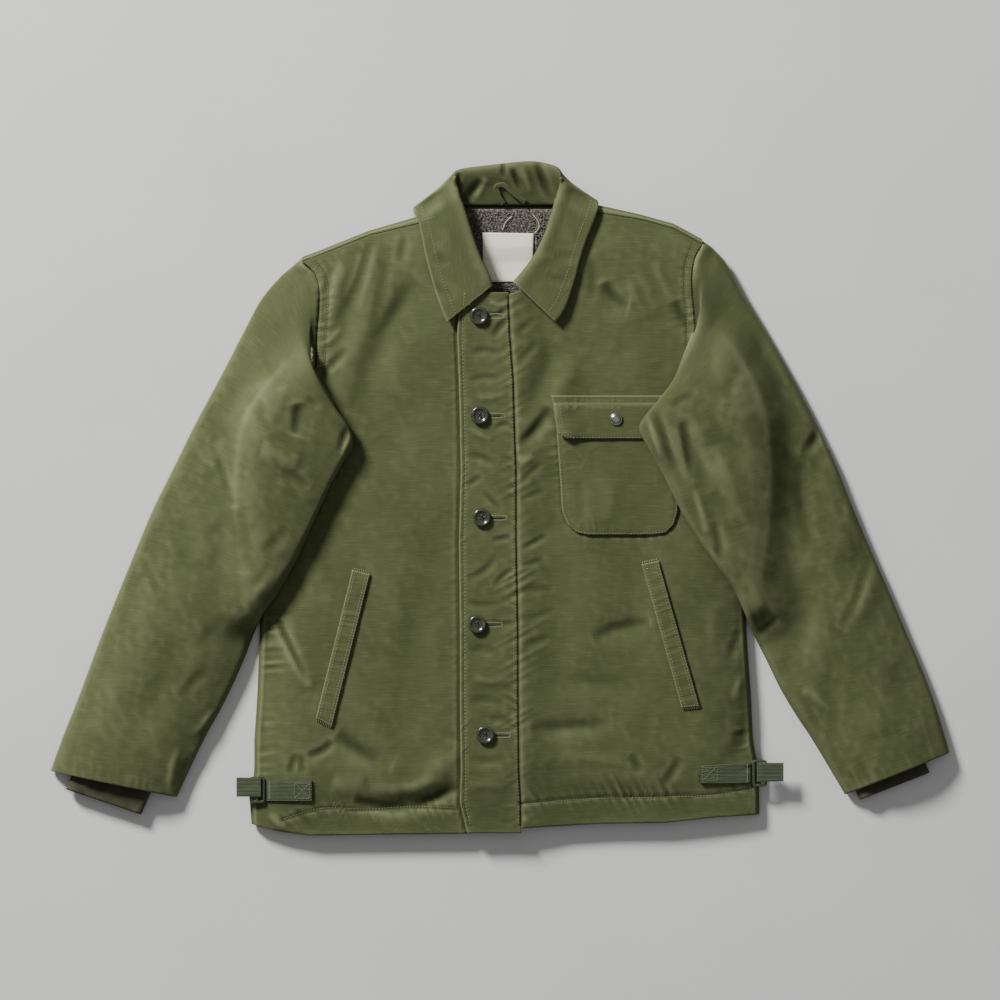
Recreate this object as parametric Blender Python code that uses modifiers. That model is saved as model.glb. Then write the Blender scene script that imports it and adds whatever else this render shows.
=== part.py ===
"""Deck jacket laid flat on its back, buttoned, with its sleeves at its sides.

The tables and lengths are in millimetres. X runs across the jacket, Y up towards the collar and Z up off
the surface it lies on. "right" and "left" in names are the wearer's, so the right front has negative X.
"""

import math
from collections import namedtuple

import bmesh
import bpy
import numpy as np
from mathutils import Vector
from mathutils.bvhtree import BVHTree

# Driving dimensions
METRE = 0.001
TURN_MERGE = 0.05
SHOULDER_GAP = 1.7
HEAD_GAP = 1.9
SIDE_GAP = 1.2
FLY_GAP = 0.8
REST_GAP = 0.3
WALL = 3.0
FLY_WALL = 2.4
COLLAR_WALL = 2.0
POCKET_WALL = 1.4
WELT_WALL = 1.8
LINING_WALL = 2.4
LABEL_WALL = 0.6
WEB_WALL = 1.8
BODY_LOFT = 22.0
HEM_LOFT = 14.5
HEM_REACH = 80.0
SIDE_LOFT = 11.0
SIDE_REACH = 70.0
SIDE_ROUND = 6.5
SIDE_SEAM_HEIGHT = 5.0
ARMPIT_FADE = (0.92, 0.75)
SHOULDER_LOFT = 14.0
SHOULDER_REACH = 60.0
SHOULDER_ROUND = 7.0
SHOULDER_SLOPE = math.radians(19.0)
LAP_RISE = FLY_WALL + 0.8
LAP_FADE = 45.0
NECK_LIFT = COLLAR_WALL + 1.4
SLEEVE_EDGE = 11.0
SLEEVE_ROUND = 6.5
SLEEVE_DROP = 16.0
SLEEVE_REST = 3.0
COLLAR_ROLL = 2.7
COLLAR_SIDE_HEIGHT = 9.0
# How far a fold sinks into the collar's roll, and the collar's clearance from what it lies on
COLLAR_SINK = 2.4
COLLAR_CLEAR = 0.8
# How far round a collar point the ground is looked at: at its edge and over its fall
COLLAR_EDGE_REACH = 7.0
COLLAR_FALL_REACH = 9.0
# The turns, in degrees, between which the fall passes from beside the shoulder to over or under it
FALL_TURN = (20.0, 70.0)
# Where the body's creases fade out: by the side seams, by the shoulder fold and by the hem
SIDE_CALM = 25.0
SHOULDER_CALM = (8.0, 40.0)
HEM_CALM = 14.0
# Where the back's neck is raised over the collar: by height and by distance from the neck's middle
NECK_MIDDLE = 8.0
NECK_LIFT_Y = (262.0, 284.0)
NECK_LIFT_X = (92.0, 118.0)
# How far the back's hem lies inside the fronts' hem
BACK_HEM_INSET = 2.0
# The lowest height of the turned back shoulder
FOLD_TOP = 13.0
# A sleeve's end: its rise above the armhole's last point, and how its gap widens towards the armpit
HEAD_RISE = 4.4
HEAD_START = 0.04
HEAD_FLARE = 1.6
HEAD_FLARE_POWER = 6
# Where a sleeve bends from the body down to the floor
HEAD_DROP = 8.0
LEAST_KNEE = 9.0
KNEE_FADE = 2.5
DROP_STEPS = (0.0, 0.33, 0.66, 1.1)
# Where the creases of a sleeve fade out towards its edges
SLEEVE_CALM = (2.0, 22.0)

# Edges of the body
Side = namedtuple("Side", "y left right")
SIDES = (
    Side(-372, -272, 285),
    Side(-333, -275, 285),
    Side(-300, -270, 284),
    Side(-266, -270, 278),
    Side(-222, -267, 276),
    Side(-150, -264, 271),
    Side(-68, -262, 268),
    Side(54, -262, 266),
    Side(330, -262, 266),
)
Hem = namedtuple("Hem", "x y")
HEM = (
    Hem(-275, -357),
    Hem(-245, -365),
    Hem(-209, -370),
    Hem(-140, -369),
    Hem(-40, -368),
    Hem(0, -365),
    Hem(22, -362),
    Hem(110, -357),
    Hem(180, -356),
    Hem(237, -350),
    Hem(286, -347),
)
Fold = namedtuple("Fold", "x y")
SHOULDER = (
    Fold(-262, 236),
    Fold(-219, 265),
    Fold(-202, 271),
    Fold(-145, 294),
    Fold(-87, 311),
    Fold(-60, 318),
    Fold(-20, 324),
    Fold(40, 326),
    Fold(82, 324),
    Fold(110, 322),
    Fold(151, 313),
    Fold(191, 302),
    Fold(224, 284),
    Fold(266, 240),
)
# How far in front of the shoulder fold its seam lies
ShoulderSeam = namedtuple("ShoulderSeam", "x inset")
SHOULDER_SEAM = (
    ShoulderSeam(-219, 6),
    ShoulderSeam(-140, 6),
    ShoulderSeam(-87, 9),
    ShoulderSeam(0, 9),
    ShoulderSeam(110, 9),
    ShoulderSeam(160, 6),
    ShoulderSeam(224, 6),
)
# The armholes, from the side seam up to the shoulder; the lower half lies under the sleeve
Arm = namedtuple("Arm", "x y")
ARMHOLE_RIGHT = (
    Arm(-262, 54),
    Arm(-252, 84),
    Arm(-236, 108),
    Arm(-216, 126),
    Arm(-203, 139),
    Arm(-201, 158),
    Arm(-200, 182),
    Arm(-198, 208),
    Arm(-198, 228),
    Arm(-203, 246),
    Arm(-217, 260.4),
)
ARMHOLE_LEFT = (
    Arm(266, 54),
    Arm(261, 88),
    Arm(250, 118),
    Arm(233, 148),
    Arm(213, 168),
    Arm(214, 184),
    Arm(213, 206),
    Arm(211, 226),
    Arm(211, 245),
    Arm(215, 265),
    Arm(222, 279),
)
# The front necks, from the shoulder down to the fly
Neck = namedtuple("Neck", "x y")
NECK_RIGHT = (Neck(-66, 308), Neck(-65, 294), Neck(-57, 270), Neck(-41, 247), Neck(-16, 223))
NECK_LEFT = (Neck(86, 315), Neck(83, 294), Neck(75, 267), Neck(58, 245), Neck(29, 224))
LAP_X = 6.0
# The ends of the right front's edge under the fly and of the left front's edge at the fly's seam
Ends = namedtuple("Ends", "foot head")
LAP_ENDS = Ends(-364.5, 222.5)
FLY_SEAM_ENDS = Ends(-362.0, 223.5)
# The shoulder fold of the back: how far each turned row lies inside the fold, and its height
FoldTurn = namedtuple("FoldTurn", "inset z")
FOLD_TURNS = (FoldTurn(1.5, 1.6), FoldTurn(0.0, 7.0), FoldTurn(1.8, 12.2))
# The fly: its free edge and the seam that joins it to the left front
Fly = namedtuple("Fly", "y edge seam")
FLY = (
    Fly(-367, -36, 23),
    Fly(-334, -44, 23),
    Fly(-299, -43, 21),
    Fly(-221, -44, 20),
    Fly(-146, -44, 20),
    Fly(-46, -45, 18),
    Fly(30, -43, 18),
    Fly(86, -44, 16),
    Fly(128, -45, 15),
    Fly(180, -47, 11),
    Fly(226, -44, 9),
)
# Creases of the cloth: three points of a bowed line, its half width and its rise
Crease = namedtuple("Crease", "x0 y0 x1 y1 x2 y2 wide rise")
BODY_CREASES = (
    Crease(-145, 289, -152, 240, -191, 163, 15, -3.0),
    Crease(-172, 262, -183, 205, -189, 170, 10, 2.2),
    Crease(-89, 240, -130, 180, -161, 93, 17, -3.2),
    Crease(-120, 250, -166, 170, -176, 80, 16, 2.4),
    Crease(60, 173, 40, 110, 24, 86, 13, -3.0),
    Crease(84, 170, 70, 115, 52, 95, 13, 2.2),
    Crease(56, 100, 34, 62, 18, 58, 9, -2.4),
    Crease(114, 238, 122, 214, 141, 211, 11, -2.6),
    Crease(143, 246, 160, 220, 164, 197, 12, 2.4),
    Crease(191, 217, 200, 196, 211, 181, 9, -2.4),
    Crease(-245, -130, -232, -170, -210, -209, 16, 2.6),
    Crease(-180, -258, -150, -280, -118, -293, 13, -2.8),
    Crease(-45, -265, -70, -306, -104, -327, 15, 2.8),
    Crease(-161, -331, -100, -348, -44, -314, 11, -3.4),
    Crease(-186, -312, -166, -318, -146, -314, 12, 2.2),
    Crease(32, -252, 80, -252, 122, -246, 13, -2.4),
    Crease(102, -156, 124, -146, 165, -135, 14, -2.4),
    Crease(60, -300, 130, -312, 210, -306, 16, 2.2),
    Crease(277, -245, 262, -262, 255, -290, 10, -2.4),
    Crease(-120, -20, -118, -90, -128, -170, 30, 2.0),
    Crease(100, -60, 96, -120, 108, -200, 28, 1.8),
    Crease(0, 190, 0, -60, 0, -340, 34, 1.2),
)
SLEEVE_CREASES = (
    Crease(-317, 62, -300, 30, -296, -2, 13, 3.0),
    Crease(-287, -9, -280, -40, -283, -81, 14, -3.0),
    Crease(-263, 52, -240, 46, -220, 36, 12, 2.6),
    Crease(-220, 105, -214, 86, -222, 69, 11, -2.6),
    Crease(-283, -119, -258, -100, -230, -72, 12, 2.6),
    Crease(-390, -60, -380, -120, -396, -190, 20, 2.0),
    Crease(-350, -150, -372, -215, -410, -262, 16, -2.4),
    Crease(251, 234, 228, 180, 213, 116, 13, -3.0),
    Crease(348, 71, 326, 20, 342, -71, 20, -3.4),
    Crease(333, -97, 330, -150, 309, -203, 16, -3.0),
    Crease(411, -67, 398, -120, 370, -145, 14, 2.8),
    Crease(275, -136, 290, -130, 299, -125, 10, -2.4),
    Crease(236, 60, 246, 20, 262, -30, 13, 3.0),
    Crease(198, 90, 206, 50, 226, 6, 9, -3.0),
    Crease(420, -160, 410, -210, 420, -260, 18, 2.0),
)
# Sections across each sleeve: its outer edge, its inner edge and the height of its crown
Section = namedtuple("Section", "outer_x outer_y inner_x inner_y crown")
SLEEVE_RIGHT = (
    Section(-219.5, 262.4, -203.6, 144.0, 0.0),
    Section(-227, 256, -207.5, 140.9, 10.0),
    Section(-241, 244, -199, 118, 11.0),
    Section(-260, 222, -180, 98, 13.0),
    Section(-278, 190, -166, 80, 14.0),
    Section(-297, 153, -160, 61, 15.0),
    Section(-321, 108, -172, 38, 15.0),
    Section(-338, 76, -186, 12, 15.0),
    Section(-357, 37, -202, -22, 15.0),
    Section(-380, -9, -220, -62, 14.0),
    Section(-404, -66, -242, -102, 14.0),
    Section(-426, -120, -264, -134, 14.0),
    Section(-445, -169, -281, -176, 14.0),
    Section(-463, -218, -302, -222, 13.0),
    Section(-479, -258, -327, -268, 13.0),
    Section(-494, -299, -355, -328, 12.0),
)
SLEEVE_LEFT = (
    Section(224.5, 281.4, 213.6, 173.0, 0.0),
    Section(232, 277, 217.8, 170.3, 10.0),
    Section(246, 262, 200, 146, 11.0),
    Section(264, 229, 183, 119, 13.0),
    Section(285, 195, 162, 95, 14.0),
    Section(312, 149, 152, 76, 15.0),
    Section(334, 109, 166, 48, 15.0),
    Section(354, 69, 184, 14, 15.0),
    Section(370, 35, 203, -24, 15.0),
    Section(385, -3, 228, -62, 14.0),
    Section(408, -58, 256, -100, 14.0),
    Section(429, -105, 275, -142, 14.0),
    Section(445, -144, 292, -176, 14.0),
    Section(463, -186, 314, -220, 13.0),
    Section(478, -226, 340, -260, 13.0),
    Section(494, -279, 379, -325, 12.0),
)
# Each inner cuff: the two ends of its mouth and the direction in which it runs up the sleeve
Cuff = namedtuple("Cuff", "x0 y0 x1 y1 up_x up_y")
CUFF_RIGHT = Cuff(-477, -319, -394, -347, 0.40, 0.92)
CUFF_LEFT = Cuff(395, -331, 472, -301, -0.42, 0.91)
CUFF_LENGTH = 46.0
CUFF_HEIGHT = 9.6
CUFF_WALL = 1.8
CUFF_BASE = WALL + 0.5
# The collar, from the right front's corner round the neck to the left front's: its neck seam, its roll,
# its outer edge, how far that edge stands off the front, and the turn of the fall about the roll, in
# degrees: 90 over the front, 0 beside the shoulder, -90 under the back
Turn = namedtuple("Turn", "neck_x neck_y neck_z roll_x roll_y roll_z edge_x edge_y lift angle")
COLLAR = (
    Turn(-11, 230.5, 23, -8, 233, 28.5, -58, 193, 3.5, 90),
    Turn(-19, 238, 23, -12, 247, 28.5, -64, 207, 3.2, 90),
    Turn(-33, 250.5, 22, -19, 260, 28, -71, 227, 2.6, 90),
    Turn(-42, 261, 21, -26, 279, 27, -77, 248, 2.0, 90),
    Turn(-49, 272, 20, -32, 298, 27, -82, 268, 1.6, 90),
    Turn(-55, 284, 19, -38, 317, 27, -86, 288, 1.4, 90),
    Turn(-59, 296, 18, -44, 334, 26.5, -90, 305, 1.4, 75),
    Turn(-60, 309, 14, -49, 349, 25, -96, 318, 0.0, 10),
    Turn(-54, 318, 10.5, -50, 358, 24, -84, 322, 0.0, -60),
    Turn(-42, 321.5, 10, -41, 362, 23.5, -62, 300, 0.0, -90),
    Turn(-20, 321.5, 10, -18, 365, 23.5, -30, 292, 0.0, -90),
    Turn(6, 321.5, 10, 8, 368, 24, 6, 290, 0.0, -90),
    Turn(32, 321.5, 10, 36, 370, 23.5, 42, 292, 0.0, -90),
    Turn(56, 321.5, 10, 60, 365, 23.5, 76, 300, 0.0, -90),
    Turn(70, 320, 10.5, 67, 358, 24, 96, 326, 0.0, -60),
    Turn(78, 312, 14, 67, 348, 25, 108, 326, 0.0, 10),
    Turn(77, 298, 18, 61, 331, 26.5, 104, 306, 1.4, 75),
    Turn(74, 284, 19, 56, 313, 27, 95, 284, 1.4, 90),
    Turn(67, 270, 20, 50, 294, 27, 88, 262, 1.6, 90),
    Turn(59, 259, 21, 41, 274, 27, 83, 243, 2.0, 90),
    Turn(49, 249, 22, 31, 258, 28, 77, 223, 2.6, 90),
    Turn(36, 240, 23, 22, 247, 28.5, 70, 205, 3.2, 90),
    Turn(24, 233, 23, 14, 237, 28.5, 61, 193, 3.5, 90),
)
# Pieces laid on the panels: the corners, lower left first and then against the clock
Patch = namedtuple("Patch", "x0 y0 x1 y1 x2 y2 x3 y3")
WELT_RIGHT = Patch(-202, -241, -184, -251, -142, -83, -162, -78)
WELT_LEFT = Patch(199, -230, 219, -228, 174, -68, 155, -72)
LINING = Patch(-52, 224, 70, 224, 70, 318, -52, 318)
LABEL = Patch(-19, 238, 36, 238, 37, 291, -19, 292)
STRAP_RIGHT = Patch(-256, -332, -206, -332, -206, -309, -256, -309)
STRAP_LEFT = Patch(220, -313, 275, -312, 275, -290, 220, -293)
WEB_END_RIGHT = Patch(-289, -327, -262, -327, -262, -306, -289, -306)
WEB_END_LEFT = Patch(282, -311, 311, -310, 311, -290, 282, -290)
# The chest pocket by rows from its foot up: its left and right edges
PocketRow = namedtuple("PocketRow", "y left right")
POCKET = (
    PocketRow(-40, 98, 166),
    PocketRow(-37, 84, 182),
    PocketRow(-28, 74, 191),
    PocketRow(-14, 68, 195),
    PocketRow(20, 66, 195),
    PocketRow(60, 63, 194),
    PocketRow(104, 60, 193),
)
FLAP = (
    PocketRow(65, 74, 188),
    PocketRow(72, 63, 199),
    PocketRow(92, 59, 199),
    PocketRow(106, 57, 199),
    PocketRow(113, 56, 199),
)
# The slide buckles: their two outer corners
Slide = namedtuple("Slide", "x0 y0 x1 y1")
BUCKLE_RIGHT = Slide(-275, -334, -258, -305)
BUCKLE_LEFT = Slide(277, -316, 293, -287)
BUCKLE_BAR = 2.6
BUCKLE_WALL = 2.2
# The hanger loop's middle line and its band
Loop = namedtuple("Loop", "x y")
HANGER = (Loop(4, 323), Loop(-2, 334), Loop(-4, 342), Loop(2, 344), Loop(14, 335), Loop(28, 325))
HANGER_WIDTH = 5.5
HANGER_WALL = 1.2
# Buttons and the snap: their centres, and their profiles from the top down
Centre = namedtuple("Centre", "x y")
BUTTONS = (Centre(-23, 200), Centre(-22, 91), Centre(-20, -21), Centre(-25, -138), Centre(-16, -259))
SNAP = Centre(127, 87)
Lathe = namedtuple("Lathe", "radius z")
BUTTON_PROFILE = (
    Lathe(0.0, 2.2),
    Lathe(5.4, 2.2),
    Lathe(7.2, 3.7),
    Lathe(9.2, 3.4),
    Lathe(10.0, 2.2),
    Lathe(7.5, 0.0),
    Lathe(0.0, 0.0),
)
SNAP_PROFILE = (
    Lathe(0.0, 3.0),
    Lathe(3.6, 2.7),
    Lathe(5.9, 1.5),
    Lathe(6.9, 0.5),
    Lathe(6.9, 0.0),
    Lathe(0.0, 0.0),
)

# Offsets of the outermost columns of a panel from its edge
EDGE_OFFSETS = (0.0, 0.0, 1.0, 3.0, 7.0, 15.0, 28.0)
EDGE_CUT_OFFSETS = (0.0, 1.2, 2.4, 4.5, 8.0, 15.0, 28.0)
# The column that the close ones beside a cut edge are measured to
CUT_COLUMN = 4

# Rows and columns of the meshes
SIDE_ROWS = 15
ARM_ROWS = 12
FRONT_COLUMNS = 11
FLY_ROWS = 28
SLEEVE_ROWS = 21
COLLAR_ROWS = 34
POCKET_COLUMNS = 9
BUTTON_STEPS = 18
SNAP_STEPS = 16
SCAN_POINTS = 161
TOP_OFFSETS = (0.9, 3.2, 8.0, 20.0)
BOTTOM_OFFSETS = (1.2, 6.5)
BACK_NECK_COLUMNS = (-61.0, -56.0, -15.0, 32.0, 74.0, 79.0)
BACK_NECK_Y = 320.6
# The sections at a sleeve's head that are kept as they are, and how much of the armhole's bow each has
HEAD_SECTIONS = 4
HEAD_BOW = (0.0, 0.85, 0.5, 0.2)
# Where the open part of an armhole starts in its table
OPEN_FROM = 4


def clear_scene():
    """Remove whatever the scene starts with."""
    for thing in list(bpy.data.objects):
        bpy.data.objects.remove(thing)


def finish(name, colour, roughness, metallic=0.0):
    """A material of one colour."""
    material = bpy.data.materials.new(name)
    material.use_nodes = True
    shader = material.node_tree.nodes["Principled BSDF"]
    shader.inputs["Base Color"].default_value = (*colour, 1.0)
    shader.inputs["Roughness"].default_value = roughness
    shader.inputs["Metallic"].default_value = metallic
    return material


def column(rows, field):
    """One named column of a table."""
    return np.array([getattr(row, field) for row in rows], float)


def smooth(low, high, value):
    """A soft step from 0 at low to 1 at high."""
    share = np.clip((value - low) / (high - low), 0.0, 1.0)
    return share * share * (3 - 2 * share)


def shares(points):
    """Shares of length along a line of points."""
    steps = np.linalg.norm(np.diff(points, axis=0), axis=1)
    return np.concatenate([[0.0], np.cumsum(steps)]) / steps.sum()


def hermite(knots, at, places):
    """Rows of a smooth curve through the knots, which lie at the shares in at, at other places."""
    slopes = np.gradient(knots, at, axis=0)
    cell = np.clip(np.searchsorted(at, places) - 1, 0, len(at) - 2)
    width = (at[cell + 1] - at[cell])[:, None]
    t = (places - at[cell])[:, None] / width
    return (
        (2 * t**3 - 3 * t**2 + 1) * knots[cell]
        + (t**3 - 2 * t**2 + t) * width * slopes[cell]
        + (3 * t**2 - 2 * t**3) * knots[cell + 1]
        + (t**3 - t**2) * width * slopes[cell + 1]
    )


def along(points, places):
    """Points of a smooth curve through the given ones, at shares of its length."""
    points = np.array(points, float)
    return hermite(points, shares(points), np.clip(np.asarray(places, float), 0.0, 1.0))


def coons(bottom, top, start, end, across, up):
    """Plan points between four edges that meet at their ends."""
    u = np.asarray(across)[None, :, None]
    v = np.asarray(up)[:, None, None]
    rows = (1 - v) * bottom[None] + v * top[None]
    columns = (1 - u) * start[:, None] + u * end[:, None]
    corners = (1 - u) * ((1 - v) * bottom[0] + v * top[0]) + u * ((1 - v) * bottom[-1] + v * top[-1])
    return rows + columns - corners


def creased(x, y, creases):
    """The rise that a table of creases gives at each place."""
    total = np.zeros(np.broadcast(x, y).shape)
    for crease in creases:
        t = np.linspace(0.0, 1.0, 9)
        line_x = (1 - t) ** 2 * crease.x0 + 2 * t * (1 - t) * crease.x1 + t**2 * crease.x2
        line_y = (1 - t) ** 2 * crease.y0 + 2 * t * (1 - t) * crease.y1 + t**2 * crease.y2
        best = np.full(total.shape, np.inf)
        place = np.zeros(total.shape)
        for k in range(len(t) - 1):
            step_x = line_x[k + 1] - line_x[k]
            step_y = line_y[k + 1] - line_y[k]
            share = ((x - line_x[k]) * step_x + (y - line_y[k]) * step_y) / (step_x**2 + step_y**2)
            share = np.clip(share, 0.0, 1.0)
            away = np.hypot(x - line_x[k] - share * step_x, y - line_y[k] - share * step_y)
            nearer = away < best
            best = np.where(nearer, away, best)
            place = np.where(nearer, (k + share) / (len(t) - 1), place)
        fade = np.sqrt(np.clip(4 * place * (1 - place), 0.0, 1.0))
        total = total + crease.rise * fade * np.exp(-((best / crease.wide) ** 2))
    return total


def side_inset(x, y):
    """How far inside the nearer side seam's line a place lies."""
    left = np.interp(y, column(SIDES, "y"), column(SIDES, "left"))
    right = np.interp(y, column(SIDES, "y"), column(SIDES, "right"))
    return np.maximum(np.minimum(x - left, right - x), 0.0)


def shoulder_y(x):
    """The shoulder fold's height on the plan."""
    return np.interp(x, column(SHOULDER, "x"), column(SHOULDER, "y"))


def shoulder_seam_y(x):
    """The shoulder seam's height on the plan, in front of the fold."""
    return shoulder_y(x) - np.interp(x, column(SHOULDER_SEAM, "x"), column(SHOULDER_SEAM, "inset"))


def hem_y(x):
    """The hem's height on the plan."""
    return np.interp(x, column(HEM, "x"), column(HEM, "y"))


def front_height(x, y):
    """Top of the fronts above the floor, with their largest folds."""
    inset = side_inset(x, y)
    loft = HEM_LOFT + (BODY_LOFT - HEM_LOFT) * smooth(0.0, HEM_REACH, y - hem_y(x))
    low = np.minimum(SIDE_LOFT, loft)
    height = low + (loft - low) * (1 - (1 - np.clip(inset / SIDE_REACH, 0, 1)) ** 2)
    down = np.maximum((shoulder_y(x) - y) * math.cos(SHOULDER_SLOPE), 0.0)
    edge = np.minimum(height, SHOULDER_LOFT)
    height = edge + (height - edge) * (1 - (1 - np.clip(down / SHOULDER_REACH, 0, 1)) ** 2)
    calm = smooth(0.0, SIDE_CALM, inset) * smooth(*SHOULDER_CALM, down) * smooth(0.0, HEM_CALM, y - hem_y(x))
    return height + calm * creased(x, y, BODY_CREASES)


def fly_seam_x(y):
    """The fly's seam by height."""
    return np.interp(y, column(FLY, "y"), column(FLY, "seam"))


def lap_height(x, y):
    """Top of the fly facing and of the left front, which it raises near its seam."""
    return front_height(x, y) + LAP_RISE * (1 - smooth(0.0, LAP_FADE, x - fly_seam_x(y)))


def rounded_edge(height, offset, at_side):
    """Draw the outermost columns of a panel down to its side seam."""
    drop = (SIDE_LOFT - SIDE_SEAM_HEIGHT - 1.0) * (1 - np.clip(offset / SIDE_ROUND, 0, 1)) ** 2
    return height - at_side * drop


def cloth(name, grid, wall, material, collection, around=False, flip=False):
    """An open surface of rows of points made a wall on the side its faces turn away from."""
    rows, columns = grid.shape[:2]
    mesh = bmesh.new()
    points = [
        [mesh.verts.new(grid[j, i] * METRE) if np.isfinite(grid[j, i]).all() else None for i in range(columns)]
        for j in range(rows)
    ]
    for j in range(rows - 1):
        for i in range(columns if around else columns - 1):
            k = (i + 1) % columns
            corners = [points[j][i], points[j][k], points[j + 1][k], points[j + 1][i]]
            if None not in corners:
                mesh.faces.new(corners[::-1] if flip else corners)
    data = bpy.data.meshes.new(name)
    mesh.to_mesh(data)
    mesh.free()
    data.polygons.foreach_set("use_smooth", [True] * len(data.polygons))
    data.materials.append(material)
    piece = bpy.data.objects.new(name, data)
    collection.objects.link(piece)
    solid = piece.modifiers.new("Wall", "SOLIDIFY")
    solid.thickness = wall * METRE
    solid.offset = -1.0
    return piece


class Ground:
    """Surfaces that later pieces are laid on, looked down on from above."""

    def __init__(self):
        self.trees = []

    def add(self, piece):
        """Take in a finished piece."""
        graph = bpy.context.evaluated_depsgraph_get()
        graph.update()
        self.trees.append(BVHTree.FromObject(piece, graph))

    def height(self, x, y):
        """The highest point at one place, in millimetres."""
        start = Vector((x * METRE, y * METRE, 1.0))
        best = 0.0
        for tree in self.trees:
            hit = tree.ray_cast(start, Vector((0.0, 0.0, -1.0)))[0]
            if hit is not None:
                best = max(best, hit.z / METRE)
        return best

    def over(self, x, y, reach):
        """The highest point within reach of each place."""
        x, y = np.broadcast_arrays(np.asarray(x, float), np.asarray(y, float))
        result = np.zeros(x.shape)
        for index in np.ndindex(x.shape):
            result[index] = max(
                self.height(x[index] + reach * a, y[index] + reach * b)
                for a in (-1.0, -0.5, 0.0, 0.5, 1.0)
                for b in (-1.0, -0.5, 0.0, 0.5, 1.0)
            )
        return result


def edge_places(offsets, width, middle):
    """Shares across a panel: close columns at its side edge, then even ones."""
    close = np.array(offsets) / width
    return np.concatenate([close, np.linspace(close[-1], 1.0, middle + 1)[1:]])


def side_line(side_name, armhole, lower, rise_rows, arm_rows):
    """The panel's side seam and armhole as one line from the hem up, and which rows are on the side."""
    low = lower[1]
    arm_foot = armhole[0].y
    y = np.linspace(low, arm_foot, rise_rows)
    x = np.interp(y, column(SIDES, "y"), column(SIDES, side_name))
    seam = np.column_stack([x, y])
    arm = along(armhole, np.linspace(0.0, 1.0, arm_rows + 1))[1:]
    on_seam = np.ones(rise_rows - len(ARMPIT_FADE))
    at_side = np.concatenate([on_seam, ARMPIT_FADE, np.zeros(arm_rows)])
    return np.vstack([seam, arm]), at_side


def close_in(plan, at_side, edge, inward):
    """Set the columns beside a cut edge at their own distances from it."""
    for row in np.flatnonzero(at_side == 0.0):
        away = plan[row, edge + CUT_COLUMN * inward] - plan[row, edge]
        for k in range(1, CUT_COLUMN):
            plan[row, edge + k * inward] = plan[row, edge] + away * (EDGE_CUT_OFFSETS[k] / np.linalg.norm(away))


def front_plan(side_name, armhole, neck, sign, lap_line):
    """Plan points of one front: the grid, and how much each row belongs to the side seam."""
    edge_x = SIDES[0].left if side_name == "left" else SIDES[0].right
    corner = (edge_x, float(hem_y(edge_x)))
    start, at_side = side_line(side_name, armhole, corner, SIDE_ROWS, ARM_ROWS)
    up = shares(start)
    lap = lap_line(up)
    width = abs(lap[0, 0] - start[0, 0])
    across = edge_places(EDGE_OFFSETS, width, FRONT_COLUMNS)
    hem_x = start[0, 0] + (lap[0, 0] - start[0, 0]) * across
    bottom = np.column_stack([hem_x, hem_y(hem_x)])
    bottom[0], bottom[-1] = start[0], lap[0]
    seam_x = np.linspace(start[-1, 0], neck[0].x, 9)
    seam = np.column_stack([seam_x, shoulder_seam_y(seam_x)])
    line = np.vstack([seam, np.array(neck)[1:]])
    line[-1] = lap[-1]
    top = along(line, across)
    on_shoulder = (top[:, 0] - neck[0].x) * sign > 0
    top[:, 1] = np.where(on_shoulder, shoulder_seam_y(top[:, 0]), top[:, 1])
    start[-1] = top[0]
    plan = coons(bottom, top, start, lap, across, up)
    close_in(plan, at_side, 0, 1)
    return plan, at_side


def panel(plan, at_side, height):
    """Heights over a plan, with the seam edge drawn down at its side rows."""
    x, y = plan[..., 0], plan[..., 1]
    z = height(x, y)
    weight = at_side[:, None]
    offset = np.abs(x - x[:, :1])
    z = np.where(offset < SIDE_ROUND, rounded_edge(z, offset, weight), z)
    natural = height(x[:, 0], y[:, 0])
    z[:, 0] = natural + at_side * (SIDE_SEAM_HEIGHT + SIDE_GAP / 2 - natural)
    z[:, 1] = np.where(at_side > 0, natural + at_side * (SIDE_SEAM_HEIGHT + 1.0 - natural), z[:, 1])
    return np.dstack([x, y, z])


def make_fronts(collection, material):
    """Both fronts: the right one runs on under the fly, the left one starts at the fly's seam."""

    def lap_line(up):
        y = LAP_ENDS.foot + (LAP_ENDS.head - LAP_ENDS.foot) * up
        return np.column_stack([np.full(len(up), LAP_X), y])

    def seam_line(up):
        y = FLY_SEAM_ENDS.foot + (FLY_SEAM_ENDS.head - FLY_SEAM_ENDS.foot) * up
        return np.column_stack([fly_seam_x(y) + FLY_GAP, y])

    right_plan, right_side = front_plan("left", ARMHOLE_RIGHT, NECK_RIGHT, -1.0, lap_line)
    right = cloth("front_right", panel(right_plan, right_side, front_height), WALL, material, collection)
    left_plan, left_side = front_plan("right", ARMHOLE_LEFT, NECK_LEFT, 1.0, seam_line)
    grid = panel(left_plan, left_side, lap_height)
    left = cloth("front_left", grid, WALL, material, collection, flip=True)
    return right, left


def lift_height(x, y):
    """How far the back's neck is raised over the collar's fall below it."""
    return NECK_LIFT * smooth(*NECK_LIFT_Y, y) * (1 - smooth(*NECK_LIFT_X, np.abs(x - NECK_MIDDLE)))


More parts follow.
